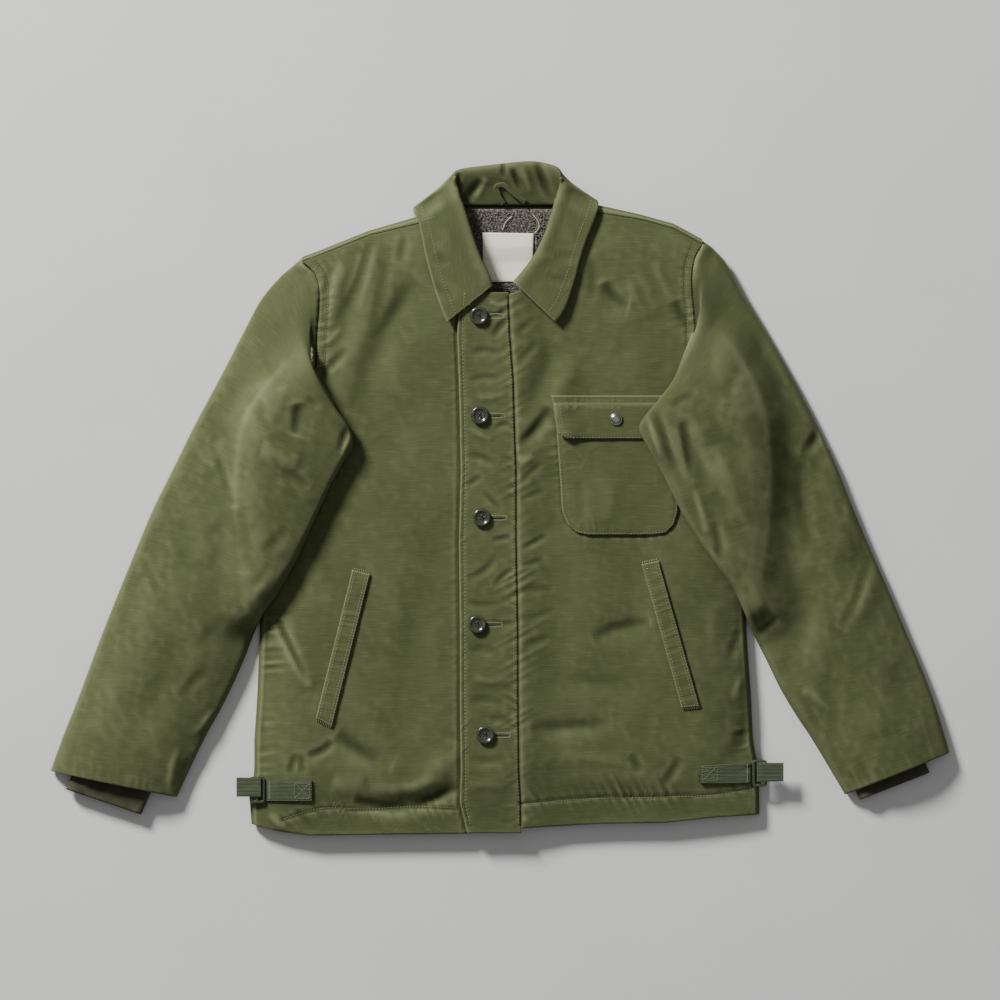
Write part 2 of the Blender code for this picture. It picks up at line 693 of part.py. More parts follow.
def make_back(collection, material):
    """The back: flat on the floor, turned up at the side seams and folded forward over the shoulders."""
    corner_right = (SIDES[0].left, float(hem_y(SIDES[0].left)))
    corner_left = (SIDES[0].right, float(hem_y(SIDES[0].right)))
    start, at_side = side_line("left", ARMHOLE_RIGHT, corner_right, SIDE_ROWS, ARM_ROWS)
    end, _ = side_line("right", ARMHOLE_LEFT, corner_left, SIDE_ROWS, ARM_ROWS)
    width = end[0, 0] - start[0, 0]
    close = np.array(EDGE_OFFSETS) / width
    head_width = end[-1, 0] - start[-1, 0]
    neck_shares = [(x - start[-1, 0]) / head_width for x in BACK_NECK_COLUMNS]
    middle = np.concatenate([
        np.linspace(close[-1], neck_shares[0], 4)[1:-1],
        neck_shares,
        np.linspace(neck_shares[-1], 1 - close[-1], 4)[1:-1],
    ])
    across = np.concatenate([close, middle, 1 - close[::-1]])
    up = (shares(start) + shares(end)) / 2
    hem_x = start[0, 0] + width * across
    bottom = np.column_stack([hem_x, hem_y(hem_x) + BACK_HEM_INSET])
    bottom[0], bottom[-1] = start[0], end[0]
    top_x = start[-1, 0] + (end[-1, 0] - start[-1, 0]) * across
    in_neck = (top_x > BACK_NECK_COLUMNS[0] + 1) & (top_x < BACK_NECK_COLUMNS[-1] - 1)
    top_y = np.where(in_neck, BACK_NECK_Y, shoulder_y(top_x) - SHOULDER_ROUND)
    top = np.column_stack([top_x, top_y])
    start[-1] = top[0]
    end[-1] = top[-1]
    plan = coons(bottom, top, start, end, across, up)
    last = len(across) - 1
    close_in(plan, at_side, 0, 1)
    close_in(plan, at_side, last, -1)
    x, y = plan[..., 0], plan[..., 1]
    offset = np.minimum(np.abs(x - x[:, :1]), np.abs(x - x[:, -1:]))
    curl = (SIDE_SEAM_HEIGHT - 1.0) * (1 - np.clip(offset / SIDE_ROUND, 0, 1)) ** 2
    z = at_side[:, None] * curl + lift_height(x, y)
    for edge, inner in ((0, 1), (last, last - 1)):
        z[:, edge] = at_side * (SIDE_SEAM_HEIGHT - SIDE_GAP / 2)
        z[:, inner] = at_side * (SIDE_SEAM_HEIGHT - 1.0)
    body = np.dstack([x, y, z])

    # The shoulder fold: rows that turn up and forward, only where there is a shoulder
    forward = FOLD_TURNS[-1].inset
    fold = np.full((len(FOLD_TURNS) + 2, len(across), 3), np.nan)
    for i, x_top in enumerate(top_x):
        if in_neck[i]:
            continue
        edge = shoulder_y(x_top)
        seam = edge - shoulder_seam_y(x_top) - SHOULDER_GAP
        raised = float(lift_height(x_top, edge))
        for k, turn in enumerate(FOLD_TURNS):
            fold[k, i] = (x_top, edge - turn.inset, turn.z + raised * (1 - turn.z / SHOULDER_LOFT))
        for k, share in enumerate((0.5, 1.0), len(FOLD_TURNS)):
            y_top = edge - forward - (seam - forward) * share
            fold[k, i] = (x_top, y_top, max(FOLD_TOP, float(front_height(x_top, y_top))))
    return cloth("back", np.vstack([body, fold]), WALL, material, collection, flip=True)


def make_fly(collection, material):
    """The fly facing: the doubled strip from its free edge to the seam."""
    y = np.linspace(FLY[0].y, FLY[-1].y, FLY_ROWS)
    across = np.array([0.0, 0.1, 0.35, 0.65, 0.9, 1.0])
    free = np.interp(y, column(FLY, "y"), column(FLY, "edge"))
    x = free[:, None] + (fly_seam_x(y) - free)[:, None] * across
    y = np.broadcast_to(y[:, None], x.shape)
    return cloth("fly_facing", np.dstack([x, y, lap_height(x, y)]), FLY_WALL, material, collection)


def body_edge_x(y, side_name, armhole):
    """The body's side and armhole by height."""
    seam = [(row.y, getattr(row, side_name)) for row in SIDES if row.y < armhole[0].y]
    line = np.array(seam + [(row.y, row.x) for row in armhole])
    return np.interp(y, line[:, 0], line[:, 1])


def sleeve_sections(table, count):
    """A sleeve's sections, smoothly filled in below its head."""
    knots = np.array(table, float)
    at = shares((knots[:, :2] + knots[:, 2:4]) / 2)
    below = np.linspace(at[HEAD_SECTIONS - 1], 1.0, count - HEAD_SECTIONS + 1)[1:]
    rows = hermite(knots, at, np.concatenate([at[:HEAD_SECTIONS], below]))
    rows[:HEAD_SECTIONS] = knots[:HEAD_SECTIONS]
    return rows


def round_share(near, reach):
    """A quarter round: 0 at an edge and 1 at its reach."""
    return np.sqrt(np.clip(1 - (1 - np.clip(near / reach, 0, 1)) ** 2, 0, 1))


def head_line(armhole, share, side_name):
    """The sleeve's end along the open part of the armhole, clear of the body by a gap."""
    fold = armhole[-1]._replace(y=armhole[-1].y + HEAD_RISE)
    share = np.asarray(share)
    line = along([*armhole[OPEN_FROM:], fold], HEAD_START + (1 - HEAD_START) * share)
    gap = HEAD_GAP * (1 + HEAD_FLARE * (1 - share) ** HEAD_FLARE_POWER)
    return line + np.column_stack([-gap if side_name == "left" else gap, np.zeros(len(gap))])


def sleeve_loop(row, index, side_name, armhole, height):
    """One loop of points round a sleeve, from its inner edge over the top and back along the floor."""
    outer, inner, crown = row[:2], row[2:4], row[4]
    width = float(np.hypot(*(outer - inner)))
    unit = (outer - inner) / width
    reach = np.linspace(0.0, width, SCAN_POINTS)
    x_line = inner[0] + unit[0] * reach
    y_line = inner[1] + unit[1] * reach
    edge = body_edge_x(y_line, side_name, armhole)
    inside = (x_line > edge) if side_name == "left" else (x_line < edge)
    cover, body_top = 0.0, 0.0
    if index and (inside.any() or index == 1):
        inside[:3] = True
        cover = float(reach[inside].max())
        body_top = float(height(x_line[inside], y_line[inside]).max()) + SLEEVE_REST
    drop = SLEEVE_DROP if index > 1 else HEAD_DROP
    knee = max(cover + 1.0, LEAST_KNEE)

    middle = np.linspace(TOP_OFFSETS[-1], width - TOP_OFFSETS[-1], 6)[1:-1]
    over = np.concatenate([TOP_OFFSETS, middle, width - np.array(TOP_OFFSETS[::-1])])
    near = np.minimum(over, width - over)
    raised = body_top * (1 - smooth(0.0, knee + KNEE_FADE * drop, over)) if cover else np.zeros(len(over))
    if index:
        arch = crown * (1 - (1 - np.clip(2 * near / width, 0, 1)) ** 2)
        top = raised + SLEEVE_EDGE * (1 + round_share(near, SLEEVE_ROUND)) / 2 + arch
    else:
        chord = head_line(armhole, over / width, side_name)
        join = height(chord[:, 0], chord[:, 1])
        top = SLEEVE_EDGE / 2 + (join - SLEEVE_EDGE / 2) * round_share(near, SLEEVE_ROUND)

    drops = knee + drop * np.array(DROP_STEPS)
    floor = np.linspace(drops[-1], width - BOTTOM_OFFSETS[1], 4)[1:]
    under = np.concatenate([BOTTOM_OFFSETS, drops, floor, [width - BOTTOM_OFFSETS[0]]])[::-1]
    near = np.minimum(under, width - under)
    bottom = SLEEVE_EDGE / 2 * (1 - round_share(near, SLEEVE_ROUND))
    if cover:
        bottom = bottom + body_top * (1 - smooth(knee, knee + drop, under))

    share = np.concatenate([[0.0], over, [width], under])
    z = np.concatenate([[raised[0] + SLEEVE_EDGE / 2], top, [SLEEVE_EDGE / 2], bottom])
    plan = inner + unit * share[:, None] if index else head_line(armhole, share / width, side_name)
    bow = HEAD_BOW[index] if index < len(HEAD_BOW) else 0.0
    if bow:
        curve = along(armhole[OPEN_FROM:], share / width)
        low, high = np.array(armhole[OPEN_FROM]), np.array(armhole[-1])
        plan = plan + bow * (curve - low - (high - low) * (share / width)[:, None])
    calm = np.zeros(len(share))
    if index > 1:
        calm[1 : len(over) + 1] = smooth(*SLEEVE_CALM, np.minimum(over, width - over))
    z = z + calm * creased(plan[:, 0], plan[:, 1], SLEEVE_CREASES)
    return np.column_stack([plan, z])


def make_sleeve(name, table, side_name, armhole, height, collection, material):
    """One sleeve: a flattened tube that lies over the body's side and then on the floor."""
    rows = sleeve_sections(table, SLEEVE_ROWS)
    loops = [sleeve_loop(row, j, side_name, armhole, height) for j, row in enumerate(rows)]
    return cloth(name, np.array(loops), WALL, material, collection, around=True, flip=side_name == "right")


def make_inner_cuff(name, cuff, mirror, collection, material):
    """The fitted cuff inside a sleeve, a flattened tube that stands out of the sleeve's mouth."""
    ends = np.array([[cuff.x0, cuff.y0], [cuff.x1, cuff.y1]], float)
    up = np.array([cuff.up_x, cuff.up_y])
    width = float(np.hypot(*(ends[1] - ends[0])))
    share = np.array([0.0, 0.02, 0.12, 0.5, 0.88, 0.98, 1.0, 0.98, 0.88, 0.5, 0.12, 0.02])
    side = np.array([0, 1, 1, 1, 1, 1, 0, -1, -1, -1, -1, -1], float)
    near = np.minimum(share, 1 - share) * width
    z = CUFF_BASE + CUFF_HEIGHT / 2 * (1 + side * round_share(near + 0.6, 8.0) * (side != 0))
    loops = []
    for step in (0.0, 0.5, 1.0):
        plan = ends[0] + (ends[1] - ends[0]) * share[:, None] + up * CUFF_LENGTH * step
        loops.append(np.column_stack([plan, z]))
    return cloth(name, np.array(loops), CUFF_WALL, material, collection, around=True, flip=mirror)


def collar_turns(count):
    """The collar's table, smoothly filled in."""
    knots = np.array(COLLAR, float)
    rows = hermite(knots, np.linspace(0.0, 1.0, len(knots)), np.linspace(0.0, 1.0, count))
    return [Turn(*row) for row in rows]


def make_collar(ground, collection, material):
    """The collar: its stand from the neck seam, the roll, and the fall, over the fronts and under the back."""
    loops = []
    for turn in collar_turns(COLLAR_ROWS):
        neck = np.array([turn.neck_x, turn.neck_y, turn.neck_z])
        roll = np.array([turn.roll_x, turn.roll_y, turn.roll_z - COLLAR_ROLL])
        outward = -1.0 if turn.roll_x < NECK_MIDDLE else 1.0
        angle = math.radians(turn.angle)
        away = np.array([outward * math.cos(angle), 0.0, math.sin(angle)])
        edge = np.array([turn.edge_x, turn.edge_y, 0.0])
        front = smooth(*FALL_TURN, turn.angle)
        back = smooth(*FALL_TURN, -turn.angle)
        over = float(ground.over(edge[0], edge[1], COLLAR_EDGE_REACH)) + COLLAR_WALL + COLLAR_CLEAR + turn.lift
        edge[2] = front * over + (1 - front) * (1 - back) * COLLAR_SIDE_HEIGHT
        toward = (neck - roll) / np.linalg.norm(neck - roll) + (edge - roll) / np.linalg.norm(edge - roll)
        toward /= np.linalg.norm(toward)
        stand = roll + COLLAR_SINK * toward - COLLAR_ROLL * away
        fall = roll + COLLAR_SINK * toward + COLLAR_ROLL * away
        points = [neck, neck + (stand - neck) * 0.5, stand, roll, fall]
        for share in (0.3, 0.65, 1.0):
            point = fall + (edge - fall) * share
            if turn.angle > FALL_TURN[0]:
                least = float(ground.over(point[0], point[1], COLLAR_FALL_REACH)) + COLLAR_WALL + COLLAR_CLEAR
                point[2] = max(point[2], least)
            points.append(point)
        if turn.angle < -FALL_TURN[0]:
            for point in points[5:]:
                point[2] = 0.0
        loops.append(np.array(points))
    return cloth("collar", np.array(loops), COLLAR_WALL, material, collection, flip=True)


def corner_grid(patch, rows, columns):
    """Points spread evenly over a patch's four corners."""
    corners = np.array(patch, float).reshape(4, 2)
    u = np.linspace(0.0, 1.0, columns)[None, :, None]
    v = np.linspace(0.0, 1.0, rows)[:, None, None]
    return (1 - v) * ((1 - u) * corners[0] + u * corners[1]) + v * ((1 - u) * corners[3] + u * corners[2])


def row_grid(rows, across):
    """Points spread over a table of rows with a left and a right edge."""
    share = np.array(across)[None, :]
    left = column(rows, "left")[:, None]
    right = column(rows, "right")[:, None]
    x = left + (right - left) * share
    return np.dstack([x, np.broadcast_to(column(rows, "y")[:, None], x.shape)])


def lay(name, plan, ground, wall, reach, collection, material, lift=0.0):
    """A piece of cloth laid on what is below it."""
    z = ground.over(plan[..., 0], plan[..., 1], reach) + REST_GAP + wall + lift
    return cloth(name, np.dstack([plan, z]), wall, material, collection)


def make_buckle(name, slide, base, collection, material):
    """A flat two-slot slide buckle."""
    curve = bpy.data.curves.new(name, "CURVE")
    curve.dimensions = "2D"
    curve.fill_mode = "BOTH"
    curve.extrude = BUCKLE_WALL / 2 * METRE
    wide = (slide.x1 - slide.x0 - 3 * BUCKLE_BAR) / 2
    rails = [(slide.x0, slide.y0, slide.x1, slide.y1)]
    for k in range(2):
        x = slide.x0 + BUCKLE_BAR + k * (wide + BUCKLE_BAR)
        rails.append((x, slide.y0 + BUCKLE_BAR, x + wide, slide.y1 - BUCKLE_BAR))
    for x0, y0, x1, y1 in rails:
        spline = curve.splines.new("POLY")
        spline.points.add(3)
        for point, (x, y) in zip(spline.points, ((x0, y0), (x1, y0), (x1, y1), (x0, y1))):
            point.co = (x * METRE, y * METRE, 0.0, 1.0)
        spline.use_cyclic_u = True
    curve.materials.append(material)
    piece = bpy.data.objects.new(name, curve)
    piece.location.z = (base + BUCKLE_WALL / 2) * METRE
    collection.objects.link(piece)
    return piece


def make_turned(name, profile, centre, base, steps, collection, material):
    """A turned piece, such as a button, standing on its centre."""
    data = bpy.data.meshes.new(name)
    points = [(row.radius * METRE, 0.0, row.z * METRE) for row in profile]
    data.from_pydata(points, [(k, k + 1) for k in range(len(points) - 1)], [])
    data.materials.append(material)
    piece = bpy.data.objects.new(name, data)
    piece.location = (centre.x * METRE, centre.y * METRE, base * METRE)
    collection.objects.link(piece)
    screw = piece.modifiers.new("Turn", "SCREW")
    screw.steps = steps
    screw.render_steps = steps
    screw.use_merge_vertices = True
    screw.merge_threshold = TURN_MERGE * METRE
    screw.use_smooth_shade = True
    return piece


def make_hanger(ground, collection, material):
    """The hanger loop, a narrow band folded at its top."""
    line = along([tuple(point) for point in HANGER], np.linspace(0.0, 1.0, 9))
    step = np.gradient(line, axis=0)
    step /= np.linalg.norm(step, axis=1)[:, None]
    side = np.column_stack([-step[:, 1], step[:, 0]]) * HANGER_WIDTH / 2
    plan = np.stack([line + side, line - side], axis=1)
    return lay("hanger_loop", plan, ground, HANGER_WALL, 2.0, collection, material)


def main():
    """Build every piece of the jacket, from the body outwards."""
    clear_scene()
    jacket = bpy.data.collections.new("deck_jacket")
    bpy.context.scene.collection.children.link(jacket)
    shell = finish("olive_cloth", (0.095, 0.115, 0.045), 0.85)
    cuffs = finish("cuff_cloth", (0.045, 0.045, 0.028), 0.9)
    pile = finish("grey_pile", (0.055, 0.045, 0.034), 0.95)
    cream = finish("cream_label", (0.62, 0.60, 0.46), 0.8)
    webbing = finish("olive_webbing", (0.10, 0.125, 0.075), 0.85)
    metal = finish("painted_steel", (0.05, 0.062, 0.04), 0.45, 0.4)
    resin = finish("dark_resin", (0.022, 0.026, 0.016), 0.25)
    nickel = finish("nickel", (0.52, 0.52, 0.49), 0.3, 1.0)

    ground = Ground()
    front_right, front_left = make_fronts(jacket, shell)
    back = make_back(jacket, shell)
    fly = make_fly(jacket, shell)
    make_sleeve("sleeve_right", SLEEVE_RIGHT, "left", ARMHOLE_RIGHT, front_height, jacket, shell)
    for piece in (front_right, front_left, back, fly):
        ground.add(piece)

    across = np.linspace(0.0, 1.0, POCKET_COLUMNS)
    pocket = lay("chest_pocket", row_grid(POCKET, across), ground, POCKET_WALL, 5.0, jacket, shell)
    ground.add(pocket)
    flap = lay("pocket_flap", row_grid(FLAP, across), ground, POCKET_WALL, 8.0, jacket, shell)
    ground.add(flap)

    def left_height(x, y):
        return ground.over(x, y, 6.0)

    make_sleeve("sleeve_left", SLEEVE_LEFT, "right", ARMHOLE_LEFT, left_height, jacket, shell)
    make_inner_cuff("inner_cuff_right", CUFF_RIGHT, False, jacket, cuffs)
    make_inner_cuff("inner_cuff_left", CUFF_LEFT, False, jacket, cuffs)
    collar = make_collar(ground, jacket, shell)
    inside = Ground()
    inside.add(back)
    lining = lay("neck_lining", corner_grid(LINING, 7, 9), inside, LINING_WALL, 8.0, jacket, pile)
    inside.add(lining)
    lay("neck_label", corner_grid(LABEL, 5, 5), inside, LABEL_WALL, 3.0, jacket, cream)
    stand = Ground()
    stand.add(collar)
    make_hanger(stand, jacket, webbing)
    lay("welt_right", corner_grid(WELT_RIGHT, 13, 3), ground, WELT_WALL, 4.0, jacket, shell)
    lay("welt_left", corner_grid(WELT_LEFT, 13, 3), ground, WELT_WALL, 4.0, jacket, shell)
    strap_right = lay("strap_right", corner_grid(STRAP_RIGHT, 3, 7), ground, WEB_WALL, 3.0, jacket, webbing)
    strap_left = lay("strap_left", corner_grid(STRAP_LEFT, 3, 7), ground, WEB_WALL, 3.0, jacket, webbing)
    for name, slide, end in (
        ("right", BUCKLE_RIGHT, WEB_END_RIGHT),
        ("left", BUCKLE_LEFT, WEB_END_LEFT),
    ):
        x = np.linspace(slide.x0, slide.x1, 7)[None, :]
        y = np.linspace(slide.y0, slide.y1, 7)[:, None]
        base = float(ground.over(x, y, 1.0).max()) + REST_GAP
        buckle = make_buckle(f"buckle_{name}", slide, base, jacket, metal)
        ground.add(buckle)
        plan = corner_grid(end, 3, 6)
        z = np.full(plan.shape[:2], base + BUCKLE_WALL + REST_GAP + WEB_WALL)
        cloth(f"web_end_{name}", np.dstack([plan, z]), WEB_WALL, webbing, jacket)
    for index, centre in enumerate(BUTTONS, 1):
        base = float(ground.over(centre.x, centre.y, BUTTON_PROFILE[4].radius)) + REST_GAP
        make_turned(f"button_{index}", BUTTON_PROFILE, centre, base, BUTTON_STEPS, jacket, resin)
    base = float(ground.over(SNAP.x, SNAP.y, SNAP_PROFILE[4].radius)) + REST_GAP
    make_turned("pocket_snap", SNAP_PROFILE, SNAP, base, SNAP_STEPS, jacket, nickel)


main()
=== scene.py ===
"""Deck jacket laid flat on its back: finished cloth, sewing, trimmings, the floor, lights and camera.

Tables and lengths are in millimetres. X runs across the jacket, Y up towards the collar and Z up off the
surface it lies on. "right" and "left" are the wearer's, so the right front has negative X.
"""

import sys
import logging
import math
from dataclasses import dataclass, field
from enum import Enum
from typing import Callable, NamedTuple, Optional, Sequence

import bmesh
import bpy
import numpy as np
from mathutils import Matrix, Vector
from mathutils.bvhtree import BVHTree


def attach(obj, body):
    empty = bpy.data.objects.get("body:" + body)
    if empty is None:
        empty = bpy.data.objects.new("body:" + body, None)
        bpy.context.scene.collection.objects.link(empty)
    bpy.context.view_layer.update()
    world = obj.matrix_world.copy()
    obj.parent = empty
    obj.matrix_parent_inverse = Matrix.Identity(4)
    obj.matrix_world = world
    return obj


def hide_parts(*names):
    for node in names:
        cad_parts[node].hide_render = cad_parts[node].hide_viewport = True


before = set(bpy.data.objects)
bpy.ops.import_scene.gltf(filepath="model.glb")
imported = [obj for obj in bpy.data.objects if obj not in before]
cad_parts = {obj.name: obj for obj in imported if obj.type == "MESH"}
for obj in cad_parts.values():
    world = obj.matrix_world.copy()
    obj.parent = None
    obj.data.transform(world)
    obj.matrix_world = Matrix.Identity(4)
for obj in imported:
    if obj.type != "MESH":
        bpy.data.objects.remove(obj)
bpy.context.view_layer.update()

log = logging.getLogger("deck_jacket")

Array = np.ndarray
Colour = tuple[float, float, float]
Height = Callable[[Array, Array], Array]
Socket = bpy.types.NodeSocket
Piece = bpy.types.Object
Material = bpy.types.Material

METRE = 0.001
# Where Ground.over looks round a place, in shares of its reach
AROUND = ((0, 0), (1, 0), (-1, 0), (0, 1), (0, -1), (0.7, 0.7), (-0.7, 0.7), (0.7, -0.7), (-0.7, -0.7))
# The jacket's middle at the neck, and the turns at which the collar's fall begins and ends to lie down
NECK_MIDDLE = 8.0
FALL_TURN = (20.0, 70.0)

# Clearances between neighbouring pieces
SHOULDER_GAP = 0.6
HEAD_GAP = 0.3
SIDE_GAP = 0.6
FLY_GAP = 0.3
REST_GAP = 0.3
# Thickness of each cloth
WALL = 3.0
FLY_WALL = 2.4
COLLAR_WALL = 2.0
POCKET_WALL = 1.4
WELT_WALL = 1.6
LINING_WALL = 2.0
LABEL_WALL = 0.5
WEB_WALL = 1.6
# Heights of the laid-out layers
BODY_LOFT = 22.0
HEM_LOFT = 14.5
HEM_REACH = 80.0
SIDE_LOFT = 11.0
SIDE_REACH = 70.0
SIDE_ROUND = 6.5
SIDE_SEAM_HEIGHT = 5.0
SHOULDER_LOFT = 14.0
SHOULDER_REACH = 60.0
SHOULDER_ROUND = 7.0
SHOULDER_SLOPE = math.radians(19.0)
LAP_RISE = FLY_WALL + 0.8
LAP_FADE = 45.0
LAP_X = 6.0
NECK_LIFT = COLLAR_WALL + 1.4
SLEEVE_EDGE = 11.0
SLEEVE_ROUND = 6.5
SLEEVE_DROP = 16.0
SLEEVE_REST = 3.0
COLLAR_ROLL = 2.7
COLLAR_SIDE_HEIGHT = 9.0


def named(kind: type, rows: Sequence[Sequence[float]]) -> tuple:
    """Name the columns of a table's rows."""
    return tuple(kind(*row) for row in rows)


class Side(NamedTuple):
    """The side seams by height."""

    y: float
    left: float
    right: float


class Spot(NamedTuple):
    """A point of an outline on the plan."""

    x: float
    y: float


class Fly(NamedTuple):
    """The fly by height: its free edge and the seam that joins it to the left front."""

    y: float
    edge: float
    seam: float


class Crease(NamedTuple):
    """A crease: three points of a bowed line, its half width and its rise, below 0 for a trough."""

    x0: float
    y0: float
    x1: float
    y1: float
    x2: float
    y2: float
    wide: float
    rise: float


class Section(NamedTuple):
    """A section across a sleeve: its outer edge, its inner edge and its crown."""

    outer_x: float
    outer_y: float
    inner_x: float
    inner_y: float
    crown: float


class Turn(NamedTuple):
    """A section of the collar: neck seam, roll, outer edge, its lift and the turn of the fall in degrees."""

    neck_x: float
    neck_y: float
    neck_z: float
    roll_x: float
    roll_y: float
    roll_z: float
    edge_x: float
    edge_y: float
    lift: float
    angle: float


class Patch(NamedTuple):
    """The four corners of a piece, lower left first and then against the clock."""

    x0: float
    y0: float
    x1: float
    y1: float
    x2: float
    y2: float
    x3: float
    y3: float


class PocketRow(NamedTuple):
    """A row of a pocket piece: its height and its two edges."""

    y: float
    left: float
    right: float


class Cuff(NamedTuple):
    """An inner cuff: the two ends of its mouth and the direction in which it runs up the sleeve."""

    x0: float
    y0: float
    x1: float
    y1: float
    up_x: float
    up_y: float


class Slide(NamedTuple):
    """The two outer corners of a slide buckle."""

    x0: float
    y0: float
    x1: float
    y1: float


class Lathe(NamedTuple):
    """A point of a turned profile."""

    radius: float
    z: float


SIDES = named(Side, (
    (-372, -272, 285), (-333, -275, 285), (-300, -270, 284), (-266, -270, 278), (-222, -267, 276),
    (-150, -264, 271), (-68, -262, 268), (54, -262, 266), (330, -262, 266),
))
HEM = named(Spot, (
    (-275, -357), (-245, -365), (-209, -370), (-140, -369), (-40, -368), (0, -365), (22, -362), (110, -357),
    (180, -356), (237, -350), (286, -347),
))
SHOULDER = named(Spot, (
    (-262, 236), (-219, 265), (-202, 271), (-145, 294), (-87, 311), (-60, 318), (-20, 324), (40, 326),
    (82, 324), (110, 322), (151, 313), (191, 302), (224, 284), (266, 240),
))
# How far in front of the shoulder fold its seam lies
SHOULDER_SEAM = named(Spot, (
    (-219, 6), (-140, 6), (-87, 9), (0, 9), (110, 9), (160, 6), (224, 6),
))
# The armholes, from the side seam up to the shoulder; the lower half lies under the sleeve
ARMHOLE_RIGHT = named(Spot, (
    (-262, 54), (-252, 84), (-236, 108), (-216, 126), (-203, 139), (-201, 158), (-200, 182), (-198, 208),
    (-198, 228), (-203, 246), (-217, 260.4),
))
ARMHOLE_LEFT = named(Spot, (
    (266, 54), (261, 88), (250, 118), (233, 148), (213, 168), (214, 184), (213, 206), (211, 226),
    (211, 245), (215, 265), (222, 279),
))
# The front necks, from the shoulder down to the fly
NECK_RIGHT = named(Spot, (
    (-66, 308), (-65, 294), (-57, 270), (-41, 247), (-16, 223),
))
NECK_LEFT = named(Spot, (
    (86, 315), (83, 294), (75, 267), (58, 245), (29, 224),
))
# The fly: its free edge and the seam that joins it to the left front
FLY = named(Fly, (
    (-367, -36, 23), (-334, -44, 23), (-299, -43, 21), (-221, -44, 20), (-146, -44, 20), (-46, -45, 18),
    (30, -43, 18), (86, -44, 16), (128, -45, 15), (180, -47, 11), (226, -44, 9),
))
# The largest folds of the body
BODY_CREASES = named(Crease, (
    (-145, 289, -152, 240, -191, 163, 15, -3.0), (-172, 262, -183, 205, -189, 170, 10, 2.2),
    (-89, 240, -130, 180, -161, 93, 17, -3.2), (-120, 250, -166, 170, -176, 80, 16, 2.4),
    (60, 173, 40, 110, 24, 86, 13, -3.0), (84, 170, 70, 115, 52, 95, 13, 2.2),
    (56, 100, 34, 62, 18, 58, 9, -2.4), (114, 238, 122, 214, 141, 211, 11, -2.6),
    (143, 246, 160, 220, 164, 197, 12, 2.4), (191, 217, 200, 196, 211, 181, 9, -2.4),
    (-245, -130, -232, -170, -210, -209, 16, 2.6), (-180, -258, -150, -280, -118, -293, 13, -2.8),
    (-45, -265, -70, -306, -104, -327, 15, 2.8), (-161, -331, -100, -348, -44, -314, 11, -3.4),
    (-186, -312, -166, -318, -146, -314, 12, 2.2), (32, -252, 80, -252, 122, -246, 13, -2.4),
    (102, -156, 124, -146, 165, -135, 14, -2.4), (60, -300, 130, -312, 210, -306, 16, 2.2),
    (277, -245, 262, -262, 255, -290, 10, -2.4), (-120, -20, -118, -90, -128, -170, 30, 2.0),
    (100, -60, 96, -120, 108, -200, 28, 1.8), (0, 190, 0, -60, 0, -340, 34, 1.2),
))
SLEEVE_CREASES = named(Crease, (
    (-317, 62, -300, 30, -296, -2, 13, 3.0), (-287, -9, -280, -40, -283, -81, 14, -3.0),
    (-263, 52, -240, 46, -220, 36, 12, 2.6), (-220, 105, -214, 86, -222, 69, 11, -2.6),
    (-283, -119, -258, -100, -230, -72, 12, 2.6), (-390, -60, -380, -120, -396, -190, 20, 2.0),
    (-350, -150, -372, -215, -410, -262, 16, -2.4), (251, 234, 228, 180, 213, 116, 13, -3.0),
    (348, 71, 326, 20, 342, -71, 20, -3.4), (333, -97, 330, -150, 309, -203, 16, -3.0),
    (411, -67, 398, -120, 370, -145, 14, 2.8), (275, -136, 290, -130, 299, -125, 10, -2.4),
    (236, 60, 246, 20, 262, -30, 13, 3.0), (198, 90, 206, 50, 226, 6, 9, -3.0),
    (420, -160, 410, -210, 420, -260, 18, 2.0),
))
# Sections across each sleeve: its outer edge, its inner edge and the height of its crown
SLEEVE_RIGHT = named(Section, (
    (-219.5, 262.4, -203.6, 144.0, 0.0), (-227, 256, -207.5, 140.9, 10.0), (-241, 244, -199, 118, 11.0),
    (-260, 222, -180, 98, 13.0), (-278, 190, -166, 80, 14.0), (-297, 153, -160, 61, 15.0),
    (-321, 108, -172, 38, 15.0), (-338, 76, -186, 12, 15.0), (-357, 37, -202, -22, 15.0),
    (-380, -9, -220, -62, 14.0), (-404, -66, -242, -102, 14.0), (-426, -120, -264, -134, 14.0),
    (-445, -169, -281, -176, 14.0), (-463, -218, -302, -222, 13.0), (-479, -258, -327, -268, 13.0),
    (-494, -299, -355, -328, 12.0),
))
SLEEVE_LEFT = named(Section, (
    (224.5, 281.4, 213.6, 173.0, 0.0), (232, 277, 217.8, 170.3, 10.0), (246, 262, 200, 146, 11.0),
    (264, 229, 183, 119, 13.0), (285, 195, 162, 95, 14.0), (312, 149, 152, 76, 15.0),
    (334, 109, 166, 48, 15.0), (354, 69, 184, 14, 15.0), (370, 35, 203, -24, 15.0),
    (385, -3, 228, -62, 14.0), (408, -58, 256, -100, 14.0), (429, -105, 275, -142, 14.0),
    (445, -144, 292, -176, 14.0), (463, -186, 314, -220, 13.0), (478, -226, 340, -260, 13.0),
    (494, -279, 379, -325, 12.0),
))
# Each inner cuff: the two ends of its mouth and the direction in which it runs up the sleeve
CUFF_RIGHT = Cuff(-477, -319, -394, -347, 0.40, 0.92)
CUFF_LEFT = Cuff(395, -331, 472, -301, -0.42, 0.91)
